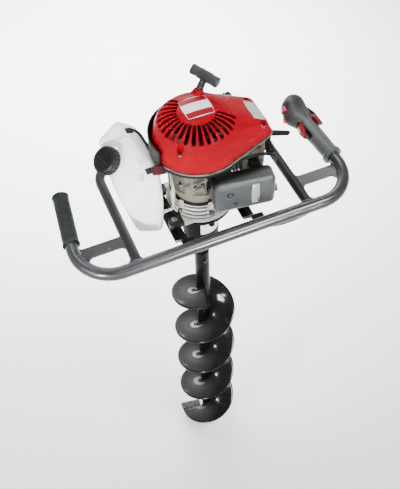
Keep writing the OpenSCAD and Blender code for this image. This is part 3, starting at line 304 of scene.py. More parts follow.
# %% plastic and rubber finishes
cover_red = finish("cover_red", (0.315, 0.0, 0.008), (0.33, 0.0, 0.0085), (0.22, 0.3),
                   drift=14, grain=1500, dent=0.04, specular=0.06)
black_plastic = finish("black_plastic", (0.005, 0.005, 0.005), (0.009, 0.009, 0.009), (0.34, 0.46),
                       drift=30, grain=1800, dent=0.2, specular=0.15)
handle_plastic = finish("handle_plastic", (0.085, 0.093, 0.09), (0.115, 0.124, 0.12), (0.34, 0.46),
                        drift=30, grain=2200, dent=0.25, specular=0.35)
grip_rubber = finish("grip_rubber", (0.005, 0.008, 0.007), (0.011, 0.015, 0.013), (0.5, 0.65),
                     drift=30, grain=2400, dent=0.3, specular=0.25)
boot_rubber = finish("boot_rubber", (0.005, 0.005, 0.005), (0.009, 0.009, 0.009), (0.45, 0.58),
                     drift=40, grain=2000, dent=0.2, specular=0.15)
pull_plastic = finish("pull_plastic", (0.034, 0.036, 0.037), (0.05, 0.052, 0.053), (0.36, 0.48),
                      drift=30, grain=2000, dent=0.2, specular=0.3)
trigger_red = finish("trigger_red", (0.17, 0.0, 0.009), (0.2, 0.0, 0.012), (0.32, 0.42),
                     drift=30, grain=1500, dent=0.1, specular=0.2)
switch_pink = finish("switch_pink", (0.5, 0.02, 0.07), (0.58, 0.035, 0.1), (0.3, 0.4),
                     drift=40, grain=1500, dent=0.1, specular=0.4)
button_orange = finish("button_orange", (0.5, 0.02, 0.02), (0.56, 0.03, 0.028), (0.3, 0.4),
                       drift=40, grain=1500, dent=0.1, specular=0.4)
hose_vinyl = finish("hose_vinyl", (0.4, 0.46, 0.34), (0.52, 0.57, 0.46), (0.2, 0.3),
                    drift=60, grain=1500, dent=0.05)
filter_foam = finish("filter_foam", (0.03, 0.03, 0.03), (0.07, 0.07, 0.07), (0.85, 0.95),
                     drift=300, grain=1500, dent=0.8)
rope_fibre = finish("rope_fibre", (0.4, 0.4, 0.36), (0.6, 0.6, 0.56), (0.7, 0.85),
                    drift=600, grain=1500, dent=0.5)
print("finishes:", len(bpy.data.materials))

# %% [markdown]
# Some finishes have a story of their own. The bit rubs on soil, so the rim of its flight is worn
# dull, and its paint is dull near the welds too. A painted mask would need a UV map, so the masks
# here are computed from the place on the piece.

# %% masks and the paint of the bit
COLOUR_UNDER, COLOUR_OVER, COLOUR_OUT = 6, 7, 2  # the colour sockets of a Mix node


def blend_over(material, factor, colour):
    """Lay a colour over a finish where factor is 1."""
    tree = material.node_tree
    base = tree.nodes["Principled BSDF"].inputs["Base Color"]
    mix = tree.nodes.new("ShaderNodeMix")
    mix.data_type = "RGBA"
    feed(tree, mix, Factor=factor)
    plug(tree, mix.inputs[COLOUR_UNDER], base.links[0].from_socket)
    plug(tree, mix.inputs[COLOUR_OVER], colour + (1,))
    plug(tree, base, mix.outputs[COLOUR_OUT])


def reach(tree, value, low, high):
    """0 below low, 1 above high, smooth between."""
    return add(tree, "ShaderNodeMapRange", {"interpolation_type": "SMOOTHSTEP"}, Value=value,
               From_Min=low, From_Max=high)["Result"]


def place_on(tree):
    """X, Y and Z in the piece's own coordinates."""
    return add(tree, "ShaderNodeSeparateXYZ", Vector=add(tree, "ShaderNodeTexCoord")["Object"])


def length_of(tree, one, two):
    """Length of the vector with these two parts."""
    squares = [calc(tree, "MULTIPLY", part, part) for part in (one, two)]
    return calc(tree, "SQRT", calc(tree, "ADD", *squares))


WORN_RIM, CLEAR_OF_WELD = (0.0732, 0.0742), (0.02, 0.045)  # from and to, as a radius
DULL, GLOSSY = 0.06, 0.75
SCUFFS_PER_METRE, SCUFF_EDGE = 45, (0.4, 0.6)
bit_paint = finish("bit_paint", (0.008, 0.0085, 0.01), (0.012, 0.0125, 0.014), (0.1, 0.15),
                   drift=26, grain=900, dent=0.04, metal=0.12, specular=GLOSSY)
tree = bit_paint.node_tree
place = place_on(tree)
radius = length_of(tree, place["X"], place["Y"])
rim = reach(tree, radius, *WORN_RIM)
scuffs = reach(tree, noise_at(tree, SCUFFS_PER_METRE), *SCUFF_EDGE)
blend_over(bit_paint, calc(tree, "MULTIPLY", rim, scuffs), (0.03, 0.03, 0.032))
painted = calc(tree, "MULTIPLY", calc(tree, "SUBTRACT", 1.0, rim),
               reach(tree, radius, *CLEAR_OF_WELD))
gloss = add(tree, "ShaderNodeMapRange", Value=painted, To_Min=DULL, To_Max=GLOSSY)["Result"]
feed(tree, tree.nodes["Principled BSDF"], Specular_IOR_Level=gloss)
print("nodes in the paint of the bit:", len(tree.nodes))

# %% [markdown]
# The muffler is laid near black at the back of its top: painted shade under the cover. The castings
# are darkened where other surfaces shelter them: painted shade as well. Shade could be painted by
# hand, but an ambient occlusion node finds those places.

# %% painted shade on the muffler and the castings
UNDER_COVER_SHADE_Y, UNDER_COVER_SHADE_Z = (-0.089, -0.075), (1.07, 1.082)  # from and to
muffler_steel = finish("muffler_steel", (0.075, 0.081, 0.085), (0.1, 0.107, 0.112), (0.3, 0.42),
                       drift=22, grain=1600, dent=0.1, metal=0.4)
tree = muffler_steel.node_tree
place = place_on(tree)
# Painted shade: the back of the muffler's top, under the cover, is laid near black.
shade_under_cover = calc(tree, "MULTIPLY", reach(tree, place["Y"], *UNDER_COVER_SHADE_Y),
                reach(tree, place["Z"], *UNDER_COVER_SHADE_Z))
blend_over(muffler_steel, shade_under_cover, (0.006, 0.006, 0.006))


def shade_where_sheltered(material, distance, low, high, colour):
    """Lay a darker colour on a finish where other surfaces within a distance shelter it: painted
    shade.
    """
    tree = material.node_tree
    open_sky = add(tree, "ShaderNodeAmbientOcclusion", Distance=distance)["AO"]
    blend_over(material, reach(tree, calc(tree, "SUBTRACT", 1.0, open_sky), low, high), colour)


# Painted shade: the castings and the bell darken in their crevices and where other parts shelter
# them.
shade_where_sheltered(cast_alloy, distance=0.016, low=0.15, high=0.6, colour=(0.02, 0.016, 0.011))
shade_where_sheltered(bell_alloy, distance=0.01, low=0.3, high=0.7, colour=(0.05, 0.045, 0.04))
print("nodes in the cast alloy:", len(cast_alloy.node_tree.nodes))

# %% [markdown]
# A black gasket shows in the bell's joint, the metal above it is the tint of the engine, and the
# bell's lugs are painted black. The gearbox carries a plain pale label, the handle is darker at its
# head, and one end of the bracket is dipped in rubber. Separate meshes would leave steps where
# there are none, so each is a mask that cuts the piece by height, width or depth.

# %% gasket, lugs, label, head and dip
JOINT_Z, GASKET_HALF = 1.0165, 0.0016
LUG_X, LUG_TOP = 0.055, 0.987
LABEL_Z, LABEL_HALF, LABEL_LEFT, LABEL_BACK = 0.916, 0.0145, -0.014, -0.012
HEAD_Y = (0.035, 0.1)  # from and to
DIP_X = -0.098


def near(tree, value, middle, half):
    """1 where a value lies within half of middle, else 0."""
    away = calc(tree, "ABSOLUTE", calc(tree, "SUBTRACT", value, middle))
    return calc(tree, "LESS_THAN", away, half)


tree = bell_alloy.node_tree
place = place_on(tree)
blend_over(bell_alloy, calc(tree, "GREATER_THAN", place["Z"], JOINT_Z), (0.2, 0.175, 0.135))
gasket = near(tree, place["Z"], JOINT_Z, GASKET_HALF)
lug = calc(tree, "MULTIPLY",
           calc(tree, "GREATER_THAN", calc(tree, "ABSOLUTE", place["X"]), LUG_X),
           calc(tree, "LESS_THAN", place["Z"], LUG_TOP))
blend_over(bell_alloy, calc(tree, "MAXIMUM", gasket, lug), (0.008, 0.008, 0.008))

tree = gear_alloy.node_tree
place = place_on(tree)
label = calc(tree, "MULTIPLY", near(tree, place["Z"], LABEL_Z, LABEL_HALF),
             calc(tree, "GREATER_THAN", place["X"], LABEL_LEFT))
label = calc(tree, "MULTIPLY", label, calc(tree, "LESS_THAN", place["Y"], LABEL_BACK))
blend_over(gear_alloy, label, (0.9, 0.9, 0.89))

tree = handle_plastic.node_tree
blend_over(handle_plastic, reach(tree, place_on(tree)["Y"], *HEAD_Y), (0.016, 0.018, 0.017))

tree = bracket_paint.node_tree
dipped = calc(tree, "LESS_THAN", place_on(tree)["X"], DIP_X)
blend_over(bracket_paint, dipped, (0.006, 0.006, 0.006))
print("nodes in the bell alloy:", len(bell_alloy.node_tree.nodes))

# %% [markdown]
# The tank is milky: light enters it and leaves it again near by. Mixing in transparency would show
# its far wall, so the shader's subsurface scattering does it.

# %% milky tank
tank_plastic = finish("tank_plastic", (0.94, 0.94, 0.93), (0.98, 0.98, 0.97), (0.3, 0.42),
                      drift=9, grain=500, dent=0.06, specular=0.4)
tree = tank_plastic.node_tree
feed(tree, tree.nodes["Principled BSDF"], Subsurface_Weight=0.35,
     Subsurface_Radius=(0.012, 0.012, 0.011), Subsurface_Scale=1.0)
print("finishes:", len(bpy.data.materials))

# %% [markdown]
# ## Dressing the solids
#
# A CAD node whose shape is right only needs its finish, which goes into its material slots. The
# nodes that are replaced further down are dressed as well, and hand their finish on.

# %% give each node its finish
dressed = set()


def paint(mesh, coat):
    """Give a mesh one finish."""
    mesh.materials.clear()
    mesh.materials.append(coat)


def dress(coat, *names):
    """Give a finish to nodes of the CAD model."""
    for name in names:
        paint(nodes[name].data, coat)
    dressed.update(names)


dress(frame_paint, "front_tube", "brace_strips", "tube_gusset")
dress(loop_paint, "rear_tube")
dress(carrier_paint, "engine_carriers", "tank_shelf")
dress(stem_paint, "bit_tube")
dress(grip_rubber, "left_grip")
dress(boot_rubber, "rubber_buffers", "plug_boot", "plug_lead")
dress(bright_steel, "carrier_bolts", "handle_screws", "housing_screws", "muffler_bolts",
      "cover_screws", "ball_bearings", "recoil_spring", "crankshaft", "layshaft", "clutch_drum",
      "layshaft_bushes")
dress(handle_plastic, "handle_inner_shell", "handle_outer_shell")
dress(gear_alloy, "gearbox_housing")
dress(bell_alloy, "clutch_housing")
dress(cast_alloy, "crankcase", "engine_cylinder", "spark_plug", "fan_plate", "flywheel",
      "carburettor", "clutch_rotor")
dress(black_plastic, "ignition_coil", "intake_insulator", "air_filter_base", "air_filter_cover",
      "fan_shroud", "choke_lever", "fuel_cap", "starter_pulley")
dress(muffler_steel, "muffler", "exhaust_pipe")
dress(filter_foam, "air_filter_element")
dress(cover_red, "starter_cover")
dress(tank_plastic, "fuel_tank")
dress(bracket_paint, "tank_bracket")
dress(hose_vinyl, "fuel_hose")
dress(pull_plastic, "starter_handle")
dress(rope_fibre, "starter_rope")
dress(bit_paint, "bit_flight", "pilot_point")
dress(blade_steel, "cutting_blade", "drive_pin", "output_shaft")
dress(trigger_red, "throttle_trigger", "throttle_lock")
dress(switch_pink, "stop_switch")
dress(button_orange, "start_button")
print("nodes without a finish:", sorted(set(nodes) - dressed))

# %% [markdown]
# ## Moulded and cast pieces
#
# Castings and mouldings have no sharp edges, because the tool that forms them has none. A bevel on
# every edge would work on clean quads, but a solid that was cut from others has long thin faces. A
# voxel remesh followed by smoothing rounds every edge alike, so a copy of the solid takes that.

# %% helpers for new pieces
MERGE_WITHIN, SMOOTHING = 2e-5, 0.5


def settle(piece, body):
    """A new piece moves with a body."""
    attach(piece, body)
    return piece


def apply_modifiers(piece):
    """Turn a piece and its modifiers into one plain smooth mesh."""
    done = piece.evaluated_get(bpy.context.evaluated_depsgraph_get())
    mesh = bpy.data.meshes.new_from_object(done)
    piece.modifiers.clear()
    piece.data = mesh
    mesh.shade_smooth()
    return piece


def merged_copy(node, name):
    """A copy of a node's mesh with its loose triangles joined."""
    shape = bmesh.new()
    shape.from_mesh(nodes[node].data)
    bmesh.ops.remove_doubles(shape, verts=shape.verts, dist=MERGE_WITHIN)
    mesh = bpy.data.meshes.new(name)
    shape.to_mesh(mesh)
    shape.free()
    return link(name, mesh)


def moulded(node, voxel_mm, rounds):
    """Replace a node by a copy with edges rounded by about a voxel times the root of rounds."""
    piece = merged_copy(node, node + "_moulded")
    cells = piece.modifiers.new("cells", "REMESH")
    cells.mode, cells.voxel_size = "VOXEL", voxel_mm / 1000
    soft = piece.modifiers.new("soft", "SMOOTH")
    soft.factor, soft.iterations = SMOOTHING, rounds
    apply_modifiers(piece)
    paint(piece.data, nodes[node].data.materials[0])
    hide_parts(node)
    settle(piece, nodes[node]["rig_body"])
    print(piece.name, len(piece.data.polygons), "faces")
    return piece


# %% mouldings
MOULDINGS = {  # node: voxel in mm, rounds of smoothing
    "starter_cover": (1.1, 12), "fuel_tank": (1.8, 10), "fuel_cap": (0.9, 3),
    "handle_inner_shell": (1.0, 7), "handle_outer_shell": (1.0, 7), "starter_handle": (0.8, 9),
    "plug_boot": (0.6, 4), "throttle_trigger": (0.6, 5), "throttle_lock": (0.6, 5),
    "stop_switch": (0.5, 4), "start_button": (0.4, 9), "choke_lever": (0.6, 5),
    "fan_shroud": (1.1, 2), "air_filter_cover": (1.1, 4), "left_grip": (1.5, 60)}
mouldings = {node: moulded(node, *softness) for node, softness in MOULDINGS.items()}

# %% castings and pressings
CASTINGS = {  # node: voxel in mm, rounds of smoothing
    "muffler": (1.1, 5), "crankcase": (1.2, 3), "clutch_housing": (1.0, 2),
    "gearbox_housing": (1.2, 3)}
for node, softness in CASTINGS.items():
    moulded(node, *softness)

# %% [markdown]
# ## The flight of the bit
#
# The real flight is a strip of steel that is drawn into a helix and welded round a tube. It follows
# one rule: the height grows with the angle. It could be screwed up with the Screw modifier, but a
# Geometry Nodes tree keeps its pitch, turns and section as named inputs. The tree bends a flat
# grid: one side of the grid runs along the helix, the other once round the section of the strip.

# %% helpers for Geometry Nodes
def new_tree(name, inputs):
    """A tree with named inputs {name: (socket type, default)}; gives tree, inputs and output."""
    tree = bpy.data.node_groups.new(name, "GeometryNodeTree")
    tree.interface.new_socket("Geometry", in_out="INPUT", socket_type="NodeSocketGeometry")
    for key, (kind, default) in inputs.items():
        socket = tree.interface.new_socket(key, in_out="INPUT", socket_type="NodeSocket" + kind)
        if default is not None:
            socket.default_value = default
    tree.interface.new_socket("Geometry", in_out="OUTPUT", socket_type="NodeSocketGeometry")
    given = tree.nodes.new("NodeGroupInput").outputs
    return tree, given, tree.nodes.new("NodeGroupOutput").inputs["Geometry"]


def close_tree(tree, geometry, coat, result):
    """End a tree: instances become a real mesh, and the mesh takes its finish."""
    whole = add(tree, "GeometryNodeRealizeInstances", Geometry=geometry)
    painted = add(tree, "GeometryNodeSetMaterial", Geometry=whole["Geometry"], Material=coat)
    plug(tree, result, painted["Geometry"])
    return tree


def grow(piece, tree, **values):
    """Run a tree on a piece with the named values, then keep the result as a plain mesh."""
    modifier = piece.modifiers.new(tree.name, "NODES")
    modifier.node_group = tree
    for item in tree.interface.items_tree:
        key = item.name.replace(" ", "_")
        if item.in_out == "INPUT" and key in values:
            modifier[item.identifier] = values[key]
    return apply_modifiers(piece)


# %% flight tree
SECTION_POINTS, EDGE_STEPS, EDGE_SHARE = 41, 3, 0.3
END_SHARPNESS, SEAM_WITHIN = 300.0, 1e-5


def flight_tree():
    """A strip wound into a helix, with rounded edges and ends that run out thin."""
    tree, given, result = new_tree("flight", {
        "Turns": ("Float", 4.0), "Pitch": ("Float", 0.15), "Foot": ("Float", 0.0),
        "Phase": ("Float", 0.0), "Inner": ("Float", 0.016), "Outer": ("Float", 0.075),
        "Thickness": ("Float", 0.005), "Steps": ("Int", 400), "Finish": ("Material", None)})
    grid = add(tree, "GeometryNodeMeshGrid", Size_X=1.0, Size_Y=1.0, Vertices_X=given["Steps"],
               Vertices_Y=SECTION_POINTS)
    place = add(tree, "ShaderNodeSeparateXYZ",
                Vector=add(tree, "GeometryNodeInputPosition")["Position"])
    along = calc(tree, "ADD", place["X"], 0.5)
    around = calc(tree, "ADD", place["Y"], 0.5)
    strip = add(tree, "GeometryNodeCurvePrimitiveQuadrilateral", Height=given["Thickness"],
                Width=calc(tree, "SUBTRACT", given["Outer"], given["Inner"]))
    rounded = add(tree, "GeometryNodeFilletCurve", {"mode": "POLY"}, Curve=strip["Curve"],
                  Count=EDGE_STEPS, Radius=calc(tree, "MULTIPLY", given["Thickness"], EDGE_SHARE))
    section = add(tree, "GeometryNodeSampleCurve", {"mode": "FACTOR", "use_all_curves": True},
                  Curves=rounded["Curve"], Factor=around)
    offset = add(tree, "ShaderNodeSeparateXYZ", Vector=section["Position"])
    turned = calc(tree, "MULTIPLY", along, given["Turns"])
    angle = calc(tree, "ADD", given["Phase"], calc(tree, "MULTIPLY", turned, 2 * math.pi))
    middle = calc(tree, "MULTIPLY", calc(tree, "ADD", given["Outer"], given["Inner"]), 0.5)
    radius = calc(tree, "ADD", middle, offset["X"])
    to_end = calc(tree, "MINIMUM", along, calc(tree, "SUBTRACT", 1.0, along))
    taper = calc(tree, "MINIMUM", calc(tree, "MULTIPLY", to_end, END_SHARPNESS), 1.0)
    rise = calc(tree, "MULTIPLY", turned, given["Pitch"])
    lift = calc(tree, "ADD", calc(tree, "MULTIPLY", offset["Y"], taper),
                calc(tree, "MULTIPLY", given["Thickness"], 0.5))
    height = calc(tree, "ADD", calc(tree, "ADD", given["Foot"], rise), lift)
    spot = add(tree, "ShaderNodeCombineXYZ", Z=height,
               X=calc(tree, "MULTIPLY", radius, calc(tree, "COSINE", angle)),
               Y=calc(tree, "MULTIPLY", radius, calc(tree, "SINE", angle)))
    bent = add(tree, "GeometryNodeSetPosition", Geometry=grid["Mesh"], Position=spot["Vector"])
    closed = add(tree, "GeometryNodeMergeByDistance", Geometry=bent["Geometry"],
                 Distance=SEAM_WITHIN)
    return close_tree(tree, closed["Geometry"], given["Finish"], result)


# %% flight
PITCH, TURNS, FLIGHT_FOOT, FLIGHT_PHASE = 0.15, 4.25, 0.046, math.radians(-190)
TUBE_R, BIT_R, FLIGHT_T, FLIGHT_STEPS = 0.0165, 0.075, 0.005, 520


def face_outward(piece):
    """Turn every face of a closed mesh outward."""
    shape = bmesh.new()
    shape.from_mesh(piece.data)
    bmesh.ops.recalc_face_normals(shape, faces=shape.faces)
    shape.to_mesh(piece.data)
    shape.free()


flight = grow(link("flight", bpy.data.meshes.new("flight")), flight_tree(), Turns=TURNS,
              Pitch=PITCH, Foot=FLIGHT_FOOT, Phase=FLIGHT_PHASE, Inner=TUBE_R, Outer=BIT_R,
              Thickness=FLIGHT_T, Steps=FLIGHT_STEPS, Finish=bit_paint)
face_outward(flight)
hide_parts("bit_flight")
settle(flight, "auger")
print("flight:", len(flight.data.polygons), "faces")

# %% [markdown]
# ## Weld beads
#
# The frame and the bit are welded. A bead is a row of small overlapping puddles along the line
# where two parts meet. Sculpting them would take hours, and a bump map has no outline, so a tree
# sets a flattened ball on every step of a path, with a little seeded chance in its size.

# %% weld tree
FLOAT_MIN, FLOAT_MAX, FLOAT_OUT = 2, 3, 1  # the float sockets of a Random Value node
SMALLEST, LARGEST, FLATTENED = 0.85, 1.15, 0.7
STEP_SHARE, WELD_SEED = 0.75, 7


def weld_tree():
    """A row of flattened balls along the edges of a mesh."""
    tree, given, result = new_tree("weld", {
        "Bead": ("Float", 0.003), "Step": ("Float", 0.002), "Seed": ("Int", 1),
        "Finish": ("Material", None)})
    path = add(tree, "GeometryNodeMeshToCurve", Mesh=given["Geometry"])
    steps = add(tree, "GeometryNodeResampleCurve", {"mode": "LENGTH"}, Curve=path["Curve"],
                Length=given["Step"])
    ball = add(tree, "GeometryNodeMeshIcoSphere", Radius=given["Bead"], Subdivisions=2)
    turned = add(tree, "FunctionNodeAlignRotationToVector", {"axis": "Z"},
                 Vector=add(tree, "GeometryNodeInputTangent")["Tangent"])
    chance = tree.nodes.new("FunctionNodeRandomValue")
    chance.data_type = "FLOAT"
    feed(tree, chance, Seed=given["Seed"])
    plug(tree, chance.inputs[FLOAT_MIN], SMALLEST)
    plug(tree, chance.inputs[FLOAT_MAX], LARGEST)
    size = chance.outputs[FLOAT_OUT]
    scale = add(tree, "ShaderNodeCombineXYZ", X=size, Y=size, Z=FLATTENED)
    row = add(tree, "GeometryNodeInstanceOnPoints", Points=steps["Curve"], Instance=ball["Mesh"],
              Rotation=turned["Rotation"], Scale=scale["Vector"])
    return close_tree(tree, row["Instances"], given["Finish"], result)


WELD = weld_tree()


def weld(name, paths, bead, body, coat):
    """Weld beads along paths (lists of points) as one piece."""
    points, edges = [], []
    for path in paths:
        start = len(points)
        points += path
        edges += [(start + i, start + i + 1) for i in range(len(path) - 1)]
    mesh = bpy.data.meshes.new(name)
    mesh.from_pydata(points, edges, [])
    piece = grow(link(name, mesh), WELD, Bead=bead, Step=bead * STEP_SHARE, Seed=WELD_SEED,
                 Finish=coat)
    settle(piece, body)
    print(name, len(piece.data.polygons), "faces")


# %% welds of the flight
WELD_OUT, WELD_CLEAR, FLIGHT_BEAD = 0.0005, 0.0006, 0.0028
STEPS_PER_TURN = 48


def helix(radius, lift):
    """Points along the flight at a radius, raised by lift from its underside."""
    line = []
    for i in range(round(TURNS * STEPS_PER_TURN) + 1):
        angle = FLIGHT_PHASE + 2 * math.pi * i / STEPS_PER_TURN
        height = FLIGHT_FOOT + PITCH * i / STEPS_PER_TURN + lift
        line.append((radius * math.cos(angle), radius * math.sin(angle), height))
    return line


flight_seams = [helix(TUBE_R + WELD_OUT, lift) for lift in (FLIGHT_T + WELD_CLEAR, -WELD_CLEAR)]
weld("flight_welds", flight_seams, FLIGHT_BEAD, "auger", bit_paint)

# %% welds of the frame
FRONT_Y, FRONT_R, LOOP_X, LOOP_R, FRAME_Z = 0.134, 0.0125, 0.175, 0.010, 1.005
SADDLE_STEPS, SADDLE_SPREAD, FRAME_BEAD = 32, 1.05, 0.0026


def saddle(x):
    """Line where a loop bar at x meets the front bar."""
    line = []
    for i in range(SADDLE_STEPS + 1):
        angle = 2 * math.pi * i / SADDLE_STEPS
        across = LOOP_R * math.sin(angle)
        line.append((x + LOOP_R * SADDLE_SPREAD * math.cos(angle),
                     -FRONT_Y + math.sqrt(FRONT_R ** 2 - across ** 2) + WELD_OUT,
                     FRAME_Z + across * SADDLE_SPREAD))
    return line


weld("frame_welds", [saddle(LOOP_X), saddle(-LOOP_X)], FRAME_BEAD, "frame",
     frame_paint)

# %% [markdown]
# The flat braces and the loop run out in hollow fillets where they meet the tubes. A bevel has no
# edge to work on between two solids, so each fillet is a small plate: a fan of triangles from the
# corner to a curve that leaves one side and joins the other.

# %% fillets of the frame
FILLETS = [  # corner, two directions, size, height; in mm, on the right side
    ((184.2, -58.5), (1, 0), (0, 1), 8, 1009), ((184.2, -83.5), (1, 0), (0, -1), 14, 1009),
    ((263.7, -58.5), (-1, 0), (-0.066, 0.998), 8, 1009),
    ((259.9, -83.5), (-1, 0), (-0.357, -0.934), 20, 1009),
    ((185, -121.5), (1, 0), (0, 1), 16, 1005), ((165, -121.5), (-1, 0), (0, 1), 7, 1005)]
SUNK, HALF_THICK, CURVE_STEPS = 1, 1.8, 8


def fillet(shape, corner, one, two, size, height, side):
    """Add a hollow-edged plate between two directions; in mm, mirrored where side is -1."""
    corner, one, two = Vector(corner), Vector(one), Vector(two)
    start, end = corner + size * one - SUNK * two, corner + size * two - SUNK * one
    edge = [corner - SUNK * (one + two)]
    for i in range(CURVE_STEPS + 1):
        t = i / CURVE_STEPS
        edge.append((1 - t) ** 2 * start + 2 * t * (1 - t) * corner + t * t * end)
    layers = [[shape.verts.new((side * q.x / 1000, q.y / 1000, (height + z) / 1000)) for q in edge]
              for z in (-HALF_THICK, HALF_THICK)]
    low, high = layers
    for i in range(len(edge)):
        j = (i + 1) % len(edge)
        shape.faces.new((low[i], low[j], high[j], high[i]))
        if 0 < i < len(edge) - 1:
            for layer in layers:
                shape.faces.new((layer[0], layer[i], layer[j]))


def close_shape(shape, name):
    """Make a piece of a finished bmesh, with its faces turned outward."""
    bmesh.ops.recalc_face_normals(shape, faces=shape.faces)
    mesh = bpy.data.meshes.new(name)
    shape.to_mesh(mesh)
    shape.free()
    return link(name, mesh)


fillet_shape = bmesh.new()
for side in (1, -1):
    for fillet_line in FILLETS:
        fillet(fillet_shape, *fillet_line, side)
fillets = close_shape(fillet_shape, "frame_fillets")
paint(fillets.data, frame_paint)
settle(fillets, "frame")
print("fillets:", len(fillets.data.polygons), "faces")

# %% [markdown]
# ## Hose, lead and rope
#
# The clear fuel hose, the ignition lead and the starter rope are round and flexible. A curve with a
# round bevel follows the same points as the solid; its handles are a sixth of the chord, so it
# passes through every point without a kink.

# %% tubes along a route
TUBE_STEPS, TUBE_ROUNDNESS, CHORD_PARTS = 8, 6, 6


def round_tube(name, route_mm, radius_mm, coat):
    """A smooth tube through the points of a route."""
    curve = bpy.data.curves.new(name, "CURVE")
    curve.dimensions, curve.resolution_u = "3D", TUBE_STEPS
    curve.bevel_depth, curve.bevel_resolution = radius_mm / 1000, TUBE_ROUNDNESS
    curve.use_fill_caps = True
    line = curve.splines.new("BEZIER")
    line.bezier_points.add(len(route_mm) - 1)
    route = [Vector(p) / 1000 for p in route_mm]
    for i, point in enumerate(line.bezier_points):
        chord = route[min(i + 1, len(route) - 1)] - route[max(i - 1, 0)]
        swing = chord / CHORD_PARTS
        point.handle_left_type = point.handle_right_type = "FREE"
        point.co = route[i]
        point.handle_left, point.handle_right = route[i] - swing, route[i] + swing
    guide = link(name, curve)
    done = guide.evaluated_get(bpy.context.evaluated_depsgraph_get())
    mesh = bpy.data.meshes.new_from_object(done)
    bpy.data.objects.remove(guide)
    paint(mesh, coat)
    mesh.shade_smooth()
    return link(name, mesh)


# %% plug lead and fuel hose
LEAD_ROUTE = [(140, -26.8, 1069.5), (140, -31.2, 1067), (140, -36.4, 1064), (139, -48, 1066),
              (136, -54, 1076), (130, -56, 1090), (114, -57, 1102), (90, -59, 1109),
              (66, -60, 1110), (48, -62, 1106), (38.5, -62, 1104)]
HOSE_ROUTE = [(-76.9, -30, 1004), (-72, -30, 1004), (-68, -35, 1014), (-71, -45, 1034),
              (-71, -46, 1060), (-69, -42, 1080), (-64, -20, 1090), (-60, 10, 1096),
              (-56, 40, 1096), (-38, 60, 1096), (0, 68, 1092), (40, 73, 1086), (67, 74, 1081)]
LEAD_R = HOSE_R = 3
for node, route, radius_mm, coat in (("plug_lead", LEAD_ROUTE, LEAD_R, boot_rubber),
                                     ("fuel_hose", HOSE_ROUTE, HOSE_R, hose_vinyl)):
    tube = round_tube(node + "_round", route, radius_mm, coat)
    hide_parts(node)
    settle(tube, "frame")
    print(tube.name, len(tube.data.polygons), "faces")

# %% [markdown]
# The starter rope joins the cover to its handle and grows longer as the handle is pulled. A rigid
# piece would leave one of the two behind; this rope is one fixed tube along the line of pull from
# the spout, tied to no body.

# %% starter rope
SPOUT, PULL = Vector((24, 50, 1196)), Vector((22, 6, 40)).normalized()
ROPE_STOPS, ROPE_R = (-3, 2, 7, 8, 9, 10, 11, 15, 19), 2


def on_pull(distance_mm):
    """Point on the rope, measured from the rope spout; in mm."""
    return SPOUT + PULL * distance_mm


rope = round_tube("starter_rope_round", [on_pull(d) for d in ROPE_STOPS], ROPE_R, rope_fibre)
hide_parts("starter_rope")
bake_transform(rope)
print("rope:", len(rope.data.polygons), "faces")

# %% [markdown]
# ## Plates on the cover
#
# A rounded plate sits on the crown of the cover and a plain grey one on its tail. Both are left
# without any lettering. The crown plate is printed: a pale border, a red field and one pale band.
# The print could be three meshes, but one shader with a rounded-box distance draws a sharper line.

# %% plates with round corners
RING_POINTS, TINY = 96, 1e-6


def rounded_plate(name, centre, half_x, half_y, corner, height_at, thick, cuts=14):
    """A thin plate with round corners whose underside is at height_at(x, y); all in mm."""
    outline = []
    for i in range(RING_POINTS):
        angle = 2 * math.pi * (i + 0.5) / RING_POINTS
        qx, qy = math.cos(angle), math.sin(angle)
        stretch = min((half_x - corner) / max(abs(qx), TINY),
                      (half_y - corner) / max(abs(qy), TINY))
        outline.append((qx * stretch + corner * qx, qy * stretch + corner * qy))
    shape = bmesh.new()
    layers = []
    for lift in (0.0, thick):
        rings = []
        for ring in range(1, cuts + 1):
            share = ring / cuts
            spots = [(centre[0] + share * x, centre[1] + share * y) for x, y in outline]
            rings.append([shape.verts.new((x / 1000, y / 1000, (height_at(x, y) + lift) / 1000))
                          for x, y in spots])
        layers.append(rings)
    around = [(i, (i + 1) % RING_POINTS) for i in range(RING_POINTS)]
    for rings in layers:
        for inner, outer in zip(rings, rings[1:]):
            for i, j in around:
                shape.faces.new((inner[i], outer[i], outer[j], inner[j]))
        shape.faces.new(rings[0])
    low, high = (rings[-1] for rings in layers)
    for i, j in around:
        shape.faces.new((low[i], low[j], high[j], high[i]))
    plate = close_shape(shape, name)
    plate.data.shade_smooth()
    return plate


# %% printed crown plate
DOME = [(0, 77), (25, 75.5), (48, 71), (62, 65), (72, 56), (78, 44), (82, 24)]  # mm: out, up
RIM_Z = 1130
PLATE_AT, PLATE_HALF, PLATE_CORNER, PLATE_SUNK, PLATE_THICK = (4, 9), (27, 27.5), 6, 0.6, 1.2
PRINT_BORDER, PRINT_BAND = 0.0016, (-0.012, 0.011)
PRINT_RED, PRINT_PALE = (0.3, 0.0, 0.01), (0.92, 0.92, 0.9)
PRINT_DRIFT, PRINT_ROUGH, PRINT_SPECULAR = 60, (0.36, 0.46), 0.15


def dome_height(r):
    """Height of the crown at a distance from its axis, straight between points; in mm."""
    for (r0, z0), (r1, z1) in zip(DOME, DOME[1:]):
        if r <= r1:
            return RIM_Z + z0 + (z1 - z0) * (r - r0) / (r1 - r0)
    return RIM_Z


